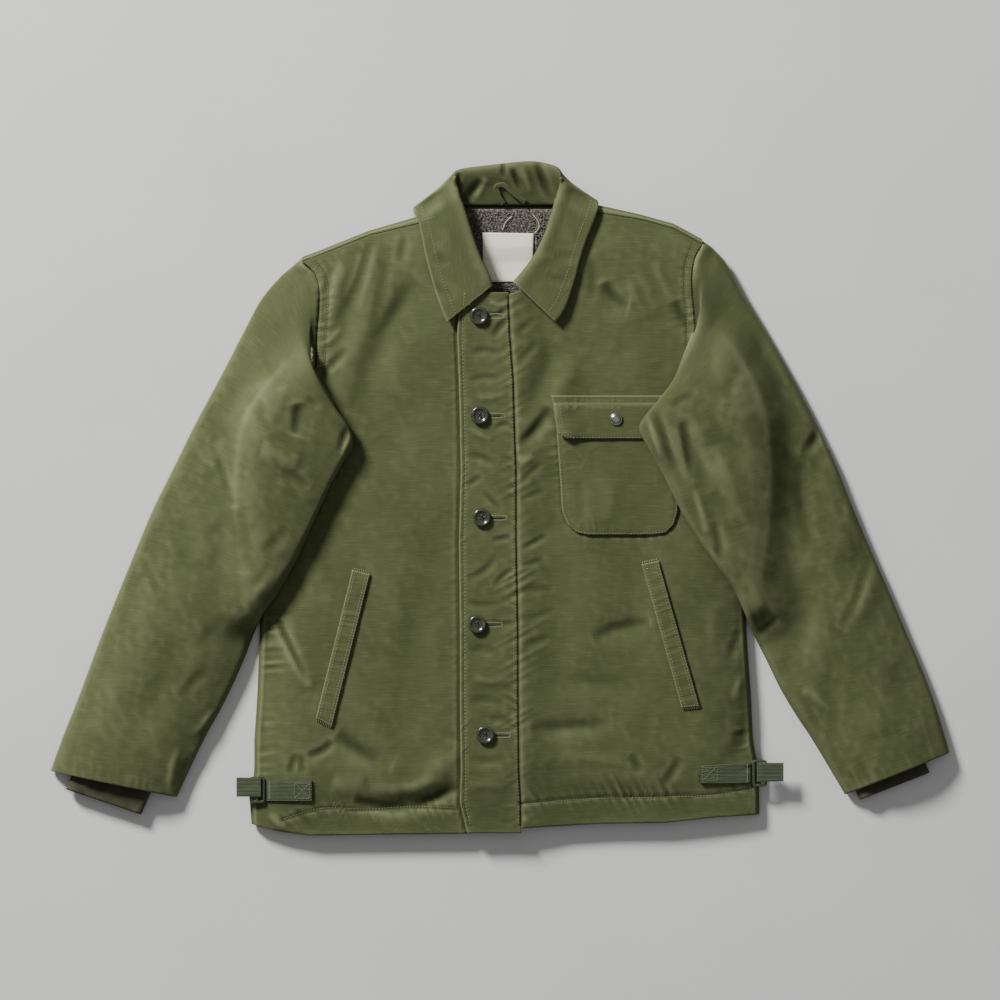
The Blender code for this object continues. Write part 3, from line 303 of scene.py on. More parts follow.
# The collar, from the right front's corner round the neck to the left front's: its neck seam, its roll,
# its outer edge, how far that edge stands off the front, and the turn of the fall about the roll, in
# degrees: 90 over the front, 0 beside the shoulder, -90 under the back
COLLAR = named(Turn, (
    (-11, 230.5, 23, -8, 233, 28.5, -58, 193, 3.5, 90), (-19, 238, 23, -12, 247, 28.5, -64, 207, 3.2, 90),
    (-33, 250.5, 22, -19, 260, 28, -71, 227, 2.6, 90), (-42, 261, 21, -26, 279, 27, -77, 248, 2.0, 90),
    (-49, 272, 20, -32, 298, 27, -82, 268, 1.6, 90), (-55, 284, 19, -38, 317, 27, -86, 288, 1.4, 90),
    (-59, 296, 18, -44, 334, 26.5, -90, 305, 1.4, 75), (-60, 309, 14, -49, 349, 25, -96, 318, 0.0, 10),
    (-54, 318, 10.5, -50, 358, 24, -84, 322, 0.0, -60),
    (-42, 321.5, 10, -41, 362, 23.5, -62, 300, 0.0, -90),
    (-20, 321.5, 10, -18, 365, 23.5, -30, 292, 0.0, -90), (6, 321.5, 10, 8, 368, 24, 6, 290, 0.0, -90),
    (32, 321.5, 10, 36, 370, 23.5, 42, 292, 0.0, -90), (56, 321.5, 10, 60, 365, 23.5, 76, 300, 0.0, -90),
    (70, 320, 10.5, 67, 358, 24, 96, 326, 0.0, -60), (78, 312, 14, 67, 348, 25, 108, 326, 0.0, 10),
    (77, 298, 18, 61, 331, 26.5, 104, 306, 1.4, 75), (74, 284, 19, 56, 313, 27, 95, 284, 1.4, 90),
    (67, 270, 20, 50, 294, 27, 88, 262, 1.6, 90), (59, 259, 21, 41, 274, 27, 83, 243, 2.0, 90),
    (49, 249, 22, 31, 258, 28, 77, 223, 2.6, 90), (36, 240, 23, 22, 247, 28.5, 70, 205, 3.2, 90),
    (24, 233, 23, 14, 237, 28.5, 61, 193, 3.5, 90),
))
# Pieces laid on the panels: the corners, lower left first and then against the clock
WELT_RIGHT = Patch(-202, -241, -184, -251, -142, -83, -162, -78)
WELT_LEFT = Patch(199, -230, 219, -228, 174, -68, 155, -72)
LINING = Patch(-52, 224, 70, 224, 70, 318, -52, 318)
LABEL = Patch(-19, 238, 36, 238, 37, 291, -19, 292)
STRAP_RIGHT = Patch(-256, -332, -206, -332, -206, -309, -256, -309)
STRAP_LEFT = Patch(220, -313, 275, -312, 275, -290, 220, -293)
WEB_END_RIGHT = Patch(-289, -327, -262, -327, -262, -306, -289, -306)
WEB_END_LEFT = Patch(282, -311, 311, -310, 311, -290, 282, -290)
# The chest pocket by rows from its foot up: its left and right edges
POCKET = named(PocketRow, (
    (-40, 98, 166), (-37, 84, 182), (-28, 74, 191), (-14, 68, 195), (20, 66, 195), (60, 63, 194),
    (104, 60, 193),
))
FLAP = named(PocketRow, (
    (65, 74, 188), (72, 63, 199), (92, 59, 199), (106, 57, 199), (113, 56, 199),
))
# The slide buckles: their two outer corners
BUCKLE_RIGHT = Slide(-275, -334, -258, -305)
BUCKLE_LEFT = Slide(277, -316, 293, -287)
# The hanger loop's middle line and its band
HANGER_WIDE = 5.5
HANGER = named(Spot, (
    (4, 323), (-2, 334), (-4, 342), (2, 344), (14, 335), (28, 325),
))
# Buttons and the snap: their centres, and their profiles from the top down
BUTTONS = named(Spot, (
    (-23, 200), (-22, 91), (-20, -21), (-25, -138), (-16, -259),
))
SNAP = Spot(127, 87)
DISH = named(Lathe, (
    (0.0, 2.0), (3.6, 2.0), (5.2, 2.15), (6.1, 2.6), (6.8, 3.3), (7.4, 3.65), (8.2, 3.7), (9.0, 3.45),
    (9.6, 2.95), (10.0, 2.2), (9.6, 1.4), (7.5, 0.0), (0.0, 0.0),
))
DOME = named(Lathe, (
    (0.0, 3.0), (1.4, 2.96), (2.6, 2.82), (3.6, 2.6), (4.5, 2.2), (5.1, 1.7), (5.4, 1.15), (5.8, 0.95),
    (6.4, 1.0), (6.8, 0.75), (6.9, 0.3), (6.7, 0.0), (0.0, 0.0),
))
# How far the sewing holes lie from a button's centre, and the thread's rise along its way between two
HOLES_OUT = 2.3
THREAD_RISE = ((0.0, 1.4), (0.12, 2.3), (0.5, 2.5), (0.88, 2.3), (1.0, 1.4))
# Buttonholes: from the button's centre to the start, and their length
HOLE_START = 10.5
HOLE_LONG = 15.5
# Points that the stitching above the hem passes through
HEM_STITCH = ((-238, -352), (-202, -341), (-140, -341), (-95, -338), (-45, -340))
HEM_BAND = ((22, -334), (90, -328), (170, -326), (240, -323), (282, -317))

# Finer folds of the body, beyond the largest ones
FINE_CREASES = named(Crease, (
    (-185, 260, -193, 218, -196, 186, 5, -1.5), (-123, 279, -127, 229, -141, 186, 7, -1.6),
    (-105, 293, -107, 275, -111, 258, 5, -1.1), (-150, 284, -158, 240, -176, 208, 5, 1.3),
    (-136, 286, -141, 250, -158, 200, 6, 1.3), (-168, 166, -184, 146, -199, 133, 5, -1.9),
    (-172, 190, -182, 176, -197, 166, 4, 1.2), (-96, 236, -118, 200, -138, 170, 8, -1.6),
    (-245, -130, -229, -166, -211, -202, 4, -2.6), (-238, -150, -223, -184, -205, -212, 5, 1.4),
    (-212, -281, -190, -279, -185, -264, 4, -2.2), (-178, -258, -155, -276, -133, -288, 7, -1.6),
    (-230, -302, -228, -290, -224, -279, 4, -1.5), (-217, -301, -219, -290, -218, -280, 4, -1.3),
    (-161, -330, -122, -343, -98, -338, 5, -2.4), (-98, -338, -74, -330, -44, -314, 5, -2.2),
    (-150, -316, -108, -326, -60, -304, 9, 1.8), (-270, -225, -266, -250, -259, -262, 6, -1.3),
    (-255, -345, -246, -352, -236, -364, 5, 1.4), (-224, -340, -214, -356, -200, -364, 5, -1.2),
    (-190, -20, -184, -60, -190, -110, 18, -1.0), (-80, 80, -76, 20, -84, -60, 22, 0.9),
    (-68, -80, -100, -140, -96, -220, 20, -1.0), (56, 103, 38, 70, 18, 58, 5, -1.8),
    (37, 48, 30, 42, 20, 38, 4, 1.5), (114, 238, 124, 216, 141, 211, 5, -1.6),
    (143, 246, 158, 224, 164, 198, 6, -1.3), (191, 217, 202, 200, 211, 181, 5, -1.5),
    (100, 262, 104, 240, 98, 216, 6, -1.0), (170, 262, 176, 236, 190, 216, 6, 1.0),
    (142, -280, 150, -290, 153, -301, 5, -1.5), (197, -283, 190, -300, 177, -315, 5, -1.6),
    (102, -156, 116, -139, 165, -135, 6, -1.6), (34, -252, 80, -250, 122, -246, 6, -1.4),
    (50, -200, 92, -196, 150, -206, 9, -0.9), (40, -286, 96, -280, 150, -290, 8, 0.9),
    (24, -54, 38, -48, 52, -39, 3, -1.3), (23, -74, 36, -70, 48, -66, 3, -1.1),
    (22, 22, 36, 30, 46, 40, 3, -1.2), (22, -2, 34, 6, 50, 8, 3, -0.9),
    (24, -104, 40, -96, 58, -100, 4, -1.1), (24, -134, 44, -128, 60, -120, 4, -1.0),
    (24, -160, 38, -158, 56, -150, 4, -1.0), (18, 152, 32, 160, 40, 172, 4, -1.1),
    (16, 176, 26, 190, 38, 196, 4, -1.0), (268, -140, 256, -156, 250, -180, 5, -1.4),
    (270, -190, 258, -206, 256, -224, 5, 1.1), (236, -110, 228, -150, 240, -190, 10, 1.2),
    (60, -30, 74, -70, 62, -110, 18, 0.9), (150, -70, 146, -100, 156, -130, 16, -0.8),
))
FLY_CREASES = named(Crease, (
    (-37, 47, -22, 48, -3, 38, 4, -1.3), (-37, 14, -28, 20, -20, 24, 3, -1.1),
    (-9, -45, 2, -44, 12, -42, 3, -1.2), (-37, -86, -18, -86, -4, -62, 4, -1.3),
    (-8, -96, 4, -84, 14, -76, 3, -1.2), (-18, 8, -8, -4, 2, -12, 3, -1.0),
    (-34, 78, -24, 70, -8, 64, 4, 1.0), (-6, 76, 2, 84, 10, 80, 3, -1.0),
    (-34, 128, -20, 136, 2, 132, 4, -1.1), (-28, 112, -12, 108, 8, 116, 4, 1.0),
    (-8, 176, 0, 190, 8, 196, 4, -1.8), (-14, 205, -4, 198, 6, 206, 3, -1.6),
    (-12, 216, -2, 210, 6, 214, 3, 1.2), (-32, 160, -16, 166, 4, 158, 4, -1.0),
    (-36, -112, -20, -120, 0, -114, 4, -1.1), (-10, -134, 4, -140, 14, -134, 3, -1.1),
    (-34, -168, -18, -160, 2, -172, 5, -1.2), (-30, -196, -12, -204, 12, -196, 5, 1.1),
    (-36, -224, -20, -216, 4, -226, 5, -1.1), (-12, -244, 2, -238, 14, -246, 4, -1.0),
    (-32, -284, -16, -292, 8, -284, 5, -1.1), (-34, -316, -18, -310, 6, -318, 6, 1.0),
))
FINE_SLEEVE_CREASES = named(Crease, (
    (-317, 62, -306, 34, -296, -2, 6, -1.6), (-220, 105, -222, 86, -224, 69, 5, -1.8),
    (-164, 82, -172, 70, -176, 50, 3, -1.9), (-160, 72, -168, 62, -172, 44, 3, 1.6),
    (-157, 60, -166, 54, -170, 38, 3, -1.7), (-199, 100, -206, 112, -212, 105, 5, -1.5),
    (-186, 98, -172, 84, -162, 74, 4, 1.4), (-262, 150, -248, 140, -240, 120, 10, -1.3),
    (-276, 110, -262, 96, -254, 72, 9, -1.2), (-240, 30, -226, 26, -210, 12, 6, -1.5),
    (-262, -60, -246, -50, -232, -30, 7, -1.2), (-352, -20, -340, -60, -344, -100, 14, -1.2),
    (-320, -190, -338, -196, -350, -220, 6, -1.4), (-314, -232, -326, -250, -340, -262, 5, 1.5),
    (-336, -278, -346, -296, -352, -318, 4, -2.0), (-352, -272, -362, -296, -364, -330, 5, 1.6),
    (-420, -190, -430, -230, -450, -262, 14, 1.1), (-300, -128, -318, -140, -330, -168, 8, -1.2),
    (168, 96, 180, 70, 190, 30, 4, -2.2), (160, 92, 168, 70, 176, 44, 3, 1.7),
    (198, 84, 204, 64, 208, 30, 4, -2.4), (186, 100, 200, 110, 214, 116, 5, -1.5),
    (233, -24, 238, -48, 241, -70, 5, -1.8), (212, 10, 220, -14, 226, -40, 5, 1.6),
    (352, 84, 346, 60, 330, 49, 6, -2.6), (330, 49, 322, 10, 340, -60, 8, -1.8),
    (296, 190, 280, 168, 276, 140, 10, -1.3), (262, 150, 250, 132, 246, 106, 8, -1.2),
    (404, -68, 392, -116, 372, -142, 6, -1.6), (280, -150, 296, -138, 306, -128, 4, -1.4),
    (316, 120, 300, 90, 300, 60, 12, 1.4), (388, 0, 376, -40, 380, -70, 14, 1.2),
    (352, -200, 366, -230, 370, -268, 10, -1.2), (430, -180, 440, -220, 458, -250, 12, -1.1),
    (330, -210, 350, -216, 362, -236, 6, 1.3), (392, -280, 400, -300, 402, -318, 8, -1.0),
))
COLLAR_CREASES = named(Crease, (
    (-42, 326, -30, 336, -18, 350, 5, -2.8), (-28, 330, -20, 344, -12, 352, 4, 1.6),
    (3, 352, 4, 362, 3, 370, 3, -1.4), (13, 362, 18, 350, 23, 338, 3, -2.0),
    (22, 364, 30, 350, 34, 334, 4, 1.4), (40, 370, 46, 350, 59, 326, 5, -3.0),
    (-48, 340, -46, 350, -44, 358, 3, -1.8), (-70, 270, -62, 262, -58, 256, 6, -0.8),
    (-76, 236, -62, 226, -50, 222, 6, -0.7), (58, 262, 70, 270, 84, 262, 6, -0.8),
    (50, 246, 62, 238, 76, 240, 5, -0.8), (40, 268, 50, 262, 60, 268, 6, 0.7),
    (-56, 300, -64, 280, -62, 260, 9, 0.6), (66, 320, 74, 300, 76, 280, 9, 0.6),
))


def column(rows: Sequence[NamedTuple], name: str) -> Array:
    """Read one named column of a table, from the first row to the last."""
    return np.array([getattr(row, name) for row in rows], float)


def evenly(count: int) -> Array:
    """Even shares from 0 to 1."""
    return np.linspace(0.0, 1.0, count)


def soft_step(low: float, high: float, value: Array) -> Array:
    """Rise softly from 0 to 1 between two places, read at each value."""
    share = np.clip((value - low) / (high - low), 0.0, 1.0)
    return share * share * (3 - 2 * share)


def hermite(knots: Array, at: Array, places: Array) -> Array:
    """Fill in smoothly between knots.

    Args:
        knots: Values at the knots, of any shape behind the first axis.
        at: Where the knots lie, rising.
        places: Where values are wanted.

    Returns:
        A value for each place.
    """
    slopes = np.gradient(knots, at, axis=0)
    cell = np.clip(np.searchsorted(at, places) - 1, 0, len(at) - 2)
    shape = (-1,) + (1,) * (knots.ndim - 1)
    wide = (at[cell + 1] - at[cell]).reshape(shape)
    t = (places - at[cell]).reshape(shape) / wide
    return (
        (2 * t**3 - 3 * t**2 + 1) * knots[cell]
        + (t**3 - 2 * t**2 + t) * wide * slopes[cell]
        + (3 * t**2 - 2 * t**3) * knots[cell + 1]
        + (t**3 - t**2) * wide * slopes[cell + 1]
    )


def shares(points: Array) -> Array:
    """Each point's share of the whole length of its line."""
    steps = np.linalg.norm(np.diff(points, axis=0), axis=1)
    return np.concatenate([[0.0], np.cumsum(steps)]) / steps.sum()


def along(points: Sequence[Sequence[float]], places: Array) -> Array:
    """Follow a smooth curve through points, at shares of its length."""
    line = np.array(points, float)
    return hermite(line, shares(line), np.clip(places, 0.0, 1.0))


def coons(bottom: Array, top: Array, start: Array, end: Array, across: Array, up: Array) -> Array:
    """Fill a plan between four edges that meet at their ends.

    Args:
        bottom: The edge at the foot.
        top: The edge at the head.
        start: The edge at the first column.
        end: The edge at the last column.
        across: Each column's share.
        up: Each row's share.

    Returns:
        The plan points, rows by columns.
    """
    u = across[None, :, None]
    v = up[:, None, None]
    rows = (1 - v) * bottom[None] + v * top[None]
    columns = (1 - u) * start[:, None] + u * end[:, None]
    corners = (1 - u) * ((1 - v) * bottom[0] + v * top[0]) + u * ((1 - v) * bottom[-1] + v * top[-1])
    return rows + columns - corners


def blurred(values: Array, times: int) -> Array:
    """Soften a grid of values.

    Args:
        values: The grid.
        times: How often each value is mixed with its neighbours.

    Returns:
        The softened grid.
    """
    for _ in range(times):
        padded = np.pad(values, 1, mode="edge")
        beside = padded[1:-1, :-2] + padded[1:-1, 2:] + padded[:-2, 1:-1] + padded[2:, 1:-1]
        values = beside / 8 + values / 2
    return values


def field_noise(x: Array, y: Array, seed: int) -> Array:
    """Soft unevenness with bumps one unit across.

    Args:
        x: Places across.
        y: Places up.
        seed: Picks the pattern.

    Returns:
        Values from -1 to 1.
    """
    table = np.random.default_rng(seed).uniform(-1.0, 1.0, (64, 64))
    left, low = np.floor(x), np.floor(y)
    u, v = soft_step(0.0, 1.0, x - left), soft_step(0.0, 1.0, y - low)
    i, j = left.astype(int) % 64, low.astype(int) % 64
    foot = table[j, i] * (1 - u) + table[j, (i + 1) % 64] * u
    head = table[(j + 1) % 64, i] * (1 - u) + table[(j + 1) % 64, (i + 1) % 64] * u
    return foot * (1 - v) + head * v


def pucker_wave(place: Array, seed: int) -> Array:
    """Ridges and troughs by turns, uneven in height and length.

    Args:
        place: Distance along the seam, in puckers.
        seed: Picks the heights.

    Returns:
        Values from -1 to 1.
    """
    rng = np.random.default_rng(seed)
    heights = rng.uniform(0.1, 1.0, 512) ** 1.4 * np.where(np.arange(512) % 2, 1.0, -1.0)
    calm = np.clip(0.62 + 0.55 * field_noise(place / 6.5, np.zeros_like(place), seed + 1), 0.12, 1.1)
    place = place + 0.75 * field_noise(place / 2.6, np.zeros_like(place), seed)
    cell = np.floor(place)
    t = soft_step(0.0, 1.0, place - cell)
    index = cell.astype(int) % 512
    return calm * (heights[index] * (1 - t) + heights[(index + 1) % 512] * t)


def near_line(x: Array, y: Array, path: Array) -> tuple[Array, Array]:
    """Measure places against a line.

    Args:
        x: Places across.
        y: Places up.
        path: The line's points.

    Returns:
        The distance along the line and the signed distance off it, positive on its left.
    """
    best = np.full(x.shape, np.inf)
    place, off = np.zeros(x.shape), np.zeros(x.shape)
    passed = 0.0
    for (ax, ay), (bx, by) in zip(path[:-1], path[1:]):
        step_x, step_y = bx - ax, by - ay
        long = math.hypot(step_x, step_y)
        t = np.clip(((x - ax) * step_x + (y - ay) * step_y) / long**2, 0.0, 1.0)
        dx, dy = x - ax - t * step_x, y - ay - t * step_y
        away = np.hypot(dx, dy)
        nearer = away < best
        best = np.where(nearer, away, best)
        place = np.where(nearer, passed + t * long, place)
        off = np.where(nearer, np.where(step_x * dy - step_y * dx >= 0, away, -away), off)
        passed += long
    return place, off


def within(x: Array, y: Array, path: Array, margin: float) -> Array:
    """Pick the places in a line's box, widened by a margin."""
    low, high = path.min(axis=0) - margin, path.max(axis=0) + margin
    return (x > low[0]) & (x < high[0]) & (y > low[1]) & (y < high[1])


def offset_line(path: Array, distance: float) -> Array:
    """Shift a line sideways.

    Args:
        path: The line's points.
        distance: How far, positive to its left.

    Returns:
        The shifted points.
    """
    step = np.gradient(path, axis=0)
    step /= np.linalg.norm(step, axis=1)[:, None]
    return path + np.column_stack([-step[:, 1], step[:, 0]]) * distance


def creased(x: Array, y: Array, creases: Sequence[Crease]) -> Array:
    """Read a table of creases.

    Args:
        x: Places across.
        y: Places up.
        creases: The table.

    Returns:
        The rise at each place.
    """
    total = np.zeros(x.shape)
    for crease in creases:
        t = evenly(9)[:, None]
        ends = np.array(crease[:6], float).reshape(3, 2)
        path = (1 - t) ** 2 * ends[0] + 2 * t * (1 - t) * ends[1] + t**2 * ends[2]
        mask = within(x, y, path, 3.0 * crease.wide)
        if mask.any():
            place, off = near_line(x[mask], y[mask], path)
            share = place / np.linalg.norm(np.diff(path, axis=0), axis=1).sum()
            fade = np.clip(4 * share * (1 - share), 0.0, 1.0) ** 0.85
            total[mask] += crease.rise * fade * np.exp(-((off / crease.wide) ** 2))
    return total


@dataclass(frozen=True)
class Seam:
    """A line of sewing and how it draws the cloth in.

    Attributes:
        path: Its points on the plan.
        pitch: Half the spacing of its puckers.
        pucker: Their height.
        reach: How far they run into the cloth.
        slant: How far they lean along the seam for each step off it.
        groove: Depth of the sewn line itself.
        seed: Picks their pattern.
        only: 1 or -1 where they run to its left or right alone.
    """

    path: Array
    pitch: float = 4.5
    pucker: float = 0.6
    reach: float = 8.0
    slant: float = 0.3
    groove: float = 0.7
    seed: int = 1
    only: int = 0

    def rise(self, x: Array, y: Array) -> Array:
        """Read the seam's relief.

        Args:
            x: Places across.
            y: Places up.

        Returns:
            The rise at each place.
        """
        total = np.zeros(x.shape)
        mask = within(x, y, self.path, 2.5 * self.reach)
        if mask.any():
            place, off = near_line(x[mask], y[mask], self.path)
            wave = pucker_wave((place + self.slant * off) / self.pitch, self.seed)
            uneven = field_noise(place / (1.9 * self.pitch), off / 40.0, self.seed + 2)
            length = self.reach * (1 + 0.45 * uneven)
            fade = np.exp(-((np.abs(off) / length) ** 1.6))
            if self.only:
                fade = np.where(off * self.only >= 0, fade, 0.0)
            total[mask] = self.pucker * wave * fade - self.groove * np.exp(-((off / 1.4) ** 2))
        return total


@dataclass(frozen=True)
class Relief:
    """The small forms of one panel: its creases, its seams and the unevenness of its padding.

    Attributes:
        creases: Its creases.
        seams: Its lines of sewing.
        uneven: Height of the unevenness.
        seed: Picks its pattern.
    """

    creases: tuple[Crease, ...] = ()
    seams: tuple[Seam, ...] = ()
    uneven: float = 0.8
    seed: int = 5

    def rise(self, x: Array, y: Array) -> Array:
        """Add the small forms up.

        Args:
            x: Places across.
            y: Places up.

        Returns:
            The rise at each place.
        """
        u, v = 0.88 * x + 0.47 * y, 0.88 * y - 0.47 * x
        total = self.uneven * (
            field_noise(u / 46, v / 64, self.seed)
            + 0.5 * field_noise(u / 20, v / 27, self.seed + 1)
            + 0.2 * field_noise(u / 7, v / 9, self.seed + 2)
        )
        total += creased(x, y, self.creases)
        for seam in self.seams:
            total += seam.rise(x, y)
        return total


class Graph:
    """A material's node tree while it is being wired."""

    def __init__(self, name: str) -> None:
        """Start a material that uses nodes."""
        self.material = bpy.data.materials.new(name)
        self.material.use_nodes = True
        self.tree = self.material.node_tree
        self.shader = self.tree.nodes["Principled BSDF"]

    def add(self, kind: str, **settings: object) -> bpy.types.Node:
        """Add a node.

        Args:
            kind: The node's type, without its prefix.
            settings: Properties of the node, or values of its inputs by number as in_0, in_1.

        Returns:
            The node.
        """
        node = self.tree.nodes.new("ShaderNode" + kind)
        for key, value in settings.items():
            if key.startswith("in_"):
                node.inputs[int(key[3:])].default_value = value
            else:
                setattr(node, key, value)
        return node

    def link(self, source: Socket, target: Socket) -> None:
        """Join an output to an input."""
        self.tree.links.new(source, target)

    def noise(self, place: Socket, stretch: Sequence[float], detail: float) -> Socket:
        """Noise over stretched coordinates.

        Args:
            place: The coordinates.
            stretch: Bumps to the metre along each axis.
            detail: How many finer layers it has.

        Returns:
            Its value.
        """
        scale = self.add("VectorMath", operation="MULTIPLY", in_1=tuple(stretch))
        texture = self.add("TexNoise", in_2=1.0, in_3=detail)
        self.link(place, scale.inputs[0])
        self.link(scale.outputs[0], texture.inputs["Vector"])
        return texture.outputs[0]

    def bands(self, place: Socket, scale: float, direction: str, bend: float) -> Socket:
        """Even ribs.

        Args:
            place: The coordinates.
            scale: Size of the wave texture.
            direction: X or Y.
            bend: How uneven the ribs are.

        Returns:
            Their height.
        """
        wave = self.add(
            "TexWave", bands_direction=direction, wave_profile="SIN", in_1=scale, in_2=bend, in_4=2.0
        )
        self.link(place, wave.inputs["Vector"])
        return wave.outputs["Fac"]

    def ramp(self, value: Socket, low: float, high: float) -> Socket:
        """Stretch a value to 0 to 1.

        Args:
            value: The value.
            low: What becomes 0.
            high: What becomes 1.

        Returns:
            The stretched value.
        """
        node = self.add("MapRange", in_1=low, in_2=high)
        self.link(value, node.inputs[0])
        return node.outputs[0]

    def mix(
        self,
        factor: Socket,
        first: "Socket | Colour",
        second: "Socket | Colour",
        blend: str = "MIX",
    ) -> Socket:
        """Mix two colours.

        Args:
            factor: The second one's share.
            first: A colour or a socket.
            second: A colour or a socket.
            blend: How they are mixed.

        Returns:
            The mixed colour.
        """
        node = self.add("Mix", data_type="RGBA", blend_type=blend)
        self.link(factor, node.inputs[0])
        for socket, value in ((node.inputs[6], first), (node.inputs[7], second)):
            if isinstance(value, tuple):
                socket.default_value = (*value, 1.0)
            else:
                self.link(value, socket)
        return node.outputs[2]

    def sum(self, first: Socket, second: Socket, share: float) -> Socket:
        """Add a share of one height to another.

        Args:
            first: The main height.
            second: The added one.
            share: How much of it is added.

        Returns:
            Their sum.
        """
        node = self.add("Math", operation="MULTIPLY_ADD", in_1=share)
        self.link(second, node.inputs[0])
        self.link(first, node.inputs[2])
        return node.outputs[0]

    def bump(self, height: Socket, depth: float) -> None:
        """Give the shader a bump.

        Args:
            height: The height.
            depth: Its depth in metres.
        """
        node = self.add("Bump", in_0=1.0, in_1=depth)
        self.link(height, node.inputs["Height"])
        self.link(node.outputs[0], self.shader.inputs["Normal"])

    def set(self, **values: object) -> None:
        """Set the shader's own values, with underscores for the spaces in their names."""
        for key, value in values.items():
            self.shader.inputs[key.replace("_", " ")].default_value = value


@dataclass(frozen=True)
class ClothFinish:
    """A woven cloth.

    Attributes:
        name: The material's name.
        dark: Its colour where it is least worn; 0.62 of it is the painted shade in the troughs.
        light: Its colour where it is most worn.
        pale: The colour of its rubbed edges and ridges.
        rib: Ribs to the metre.
        slub: How strongly single thick threads show.
        rough: Its roughness.
        sheen: Its sheen.
        relief: Depth of its weave in metres.
    """

    name: str
    dark: Colour
    light: Colour
    pale: Colour
    rib: float = 330.0
    slub: float = 0.5
    rough: float = 0.86
    sheen: float = 0.12
    relief: float = 0.00013

    def material(self) -> Material:
        """Make the material."""
        graph = Graph(self.name)
        cloth = graph.add("Attribute", attribute_name="cloth").outputs["Vector"]
        wear_and_shade = graph.add("Attribute", attribute_name="wear_and_shade").outputs["Fac"]
        patches = graph.noise(cloth, (16.0, 11.0, 16.0), 3.0)
        slubs = graph.noise(cloth, (45.0, 900.0, 45.0), 2.0)
        ends = graph.noise(cloth, (900.0, 60.0, 60.0), 1.0)
        weft = graph.bands(cloth, self.rib, "Y", 1.5)
        warp = graph.bands(cloth, self.rib * 1.3, "X", 1.0)
        base = graph.mix(graph.ramp(patches, 0.30, 0.72), self.dark, self.light)
        base = graph.mix(graph.ramp(slubs, 0.5, 0.5 + 0.5 / max(self.slub, 0.1)), base, self.pale)
        # Rubbed ridges and edges are mixed towards the pale colour, and troughs towards 0.62 of the dark
        # colour as painted shade. Pieces made without the attribute, such as the stitches and slits, read it
        # as 0 and take most of that painted shade.
        base = graph.mix(graph.ramp(wear_and_shade, 0.5, 1.15), base, self.pale)
        shade = tuple(0.62 * channel for channel in self.dark)
        base = graph.mix(graph.ramp(wear_and_shade, 0.48, -0.1), base, shade)
        graph.link(base, graph.shader.inputs["Base Color"])
        height = graph.sum(weft, warp, 0.5)
        height = graph.sum(height, slubs, 1.6 * self.slub)
        height = graph.sum(height, ends, 0.7 * self.slub)
        graph.bump(height, self.relief)
        graph.set(
            Roughness=self.rough,
            Sheen_Weight=self.sheen,
            Sheen_Roughness=0.5,
            Sheen_Tint=(*self.pale, 1.0),
            Specular_IOR_Level=0.25,
        )
        return graph.material


@dataclass(frozen=True)
class PileFinish:
    """A napped wool pile.

    Attributes:
        name: The material's name.
        dark: The colour between its tufts.
        light: The colour of their tips.
    """

    name: str
    dark: Colour
    light: Colour

    def material(self) -> Material:
        """Make the material."""
        graph = Graph(self.name)
        place = graph.add("TexCoord").outputs["Object"]
        flecks = graph.noise(place, (420.0, 420.0, 420.0), 2.0)
        tufts = graph.noise(place, (130.0, 130.0, 130.0), 3.0)
        base = graph.mix(graph.ramp(flecks, 0.38, 0.66), self.dark, self.light)
        graph.link(base, graph.shader.inputs["Base Color"])
        graph.bump(graph.sum(tufts, flecks, 0.6), 0.0012)
        graph.set(Roughness=0.95, Sheen_Weight=0.35, Sheen_Roughness=0.6, Specular_IOR_Level=0.1)
        return graph.material


@dataclass(frozen=True)
class HardFinish:
    """A hard material, such as horn, painted steel or plated brass.

    Attributes:
        name: The material's name.
        base: Its main colour.
        rubbed: Its colour where it is worn.
        rough: Its roughness.
        metal: 1 for bare metal.
        rubbing: Where on the noise the rubbed colour starts, lower for more of it.
        gloss: Its clear coat.
    """

    name: str
    base: Colour
    rubbed: Colour
    rough: float
    metal: float = 0.0
    rubbing: float = 0.6
    gloss: float = 0.0

    def material(self) -> Material:
        """Make the material."""
        graph = Graph(self.name)
        place = graph.add("TexCoord").outputs["Object"]
        smears = graph.noise(place, (260.0, 260.0, 260.0), 4.0)
        scratches = graph.noise(place, (1500.0, 180.0, 400.0), 2.0)
        base = graph.mix(graph.ramp(smears, self.rubbing, self.rubbing + 0.12), self.base, self.rubbed)
        graph.link(base, graph.shader.inputs["Base Color"])
        rough = graph.ramp(scratches, 0.0, 1.0)
        spread = graph.add("Math", operation="MULTIPLY_ADD", in_1=0.14, in_2=self.rough - 0.07)
        graph.link(rough, spread.inputs[0])
        graph.link(spread.outputs[0], graph.shader.inputs["Roughness"])
        graph.bump(graph.sum(smears, scratches, 0.4), 0.00006)
        graph.set(Metallic=self.metal, Coat_Weight=self.gloss, Coat_Roughness=0.12)
        return graph.material


class Slot(Enum):
    """The finishes that the record names."""

    SHELL = "olive_cloth"
    CUFF = "cuff_cloth"
    PILE = "grey_pile"
    LABEL = "cream_label"
    WEBBING = "olive_webbing"
    STEEL = "painted_steel"
    RESIN = "dark_resin"
    NICKEL = "nickel"


class Held(Enum):
    """How a sheet of cloth is held."""

    LAID = "laid"
    FOLDED = "folded"


class Edge(Enum):
    """The edges of a sheet's grid."""

    FIRST_ROW = 0
    LAST_ROW = 1
    FIRST_COLUMN = 2
    LAST_COLUMN = 3


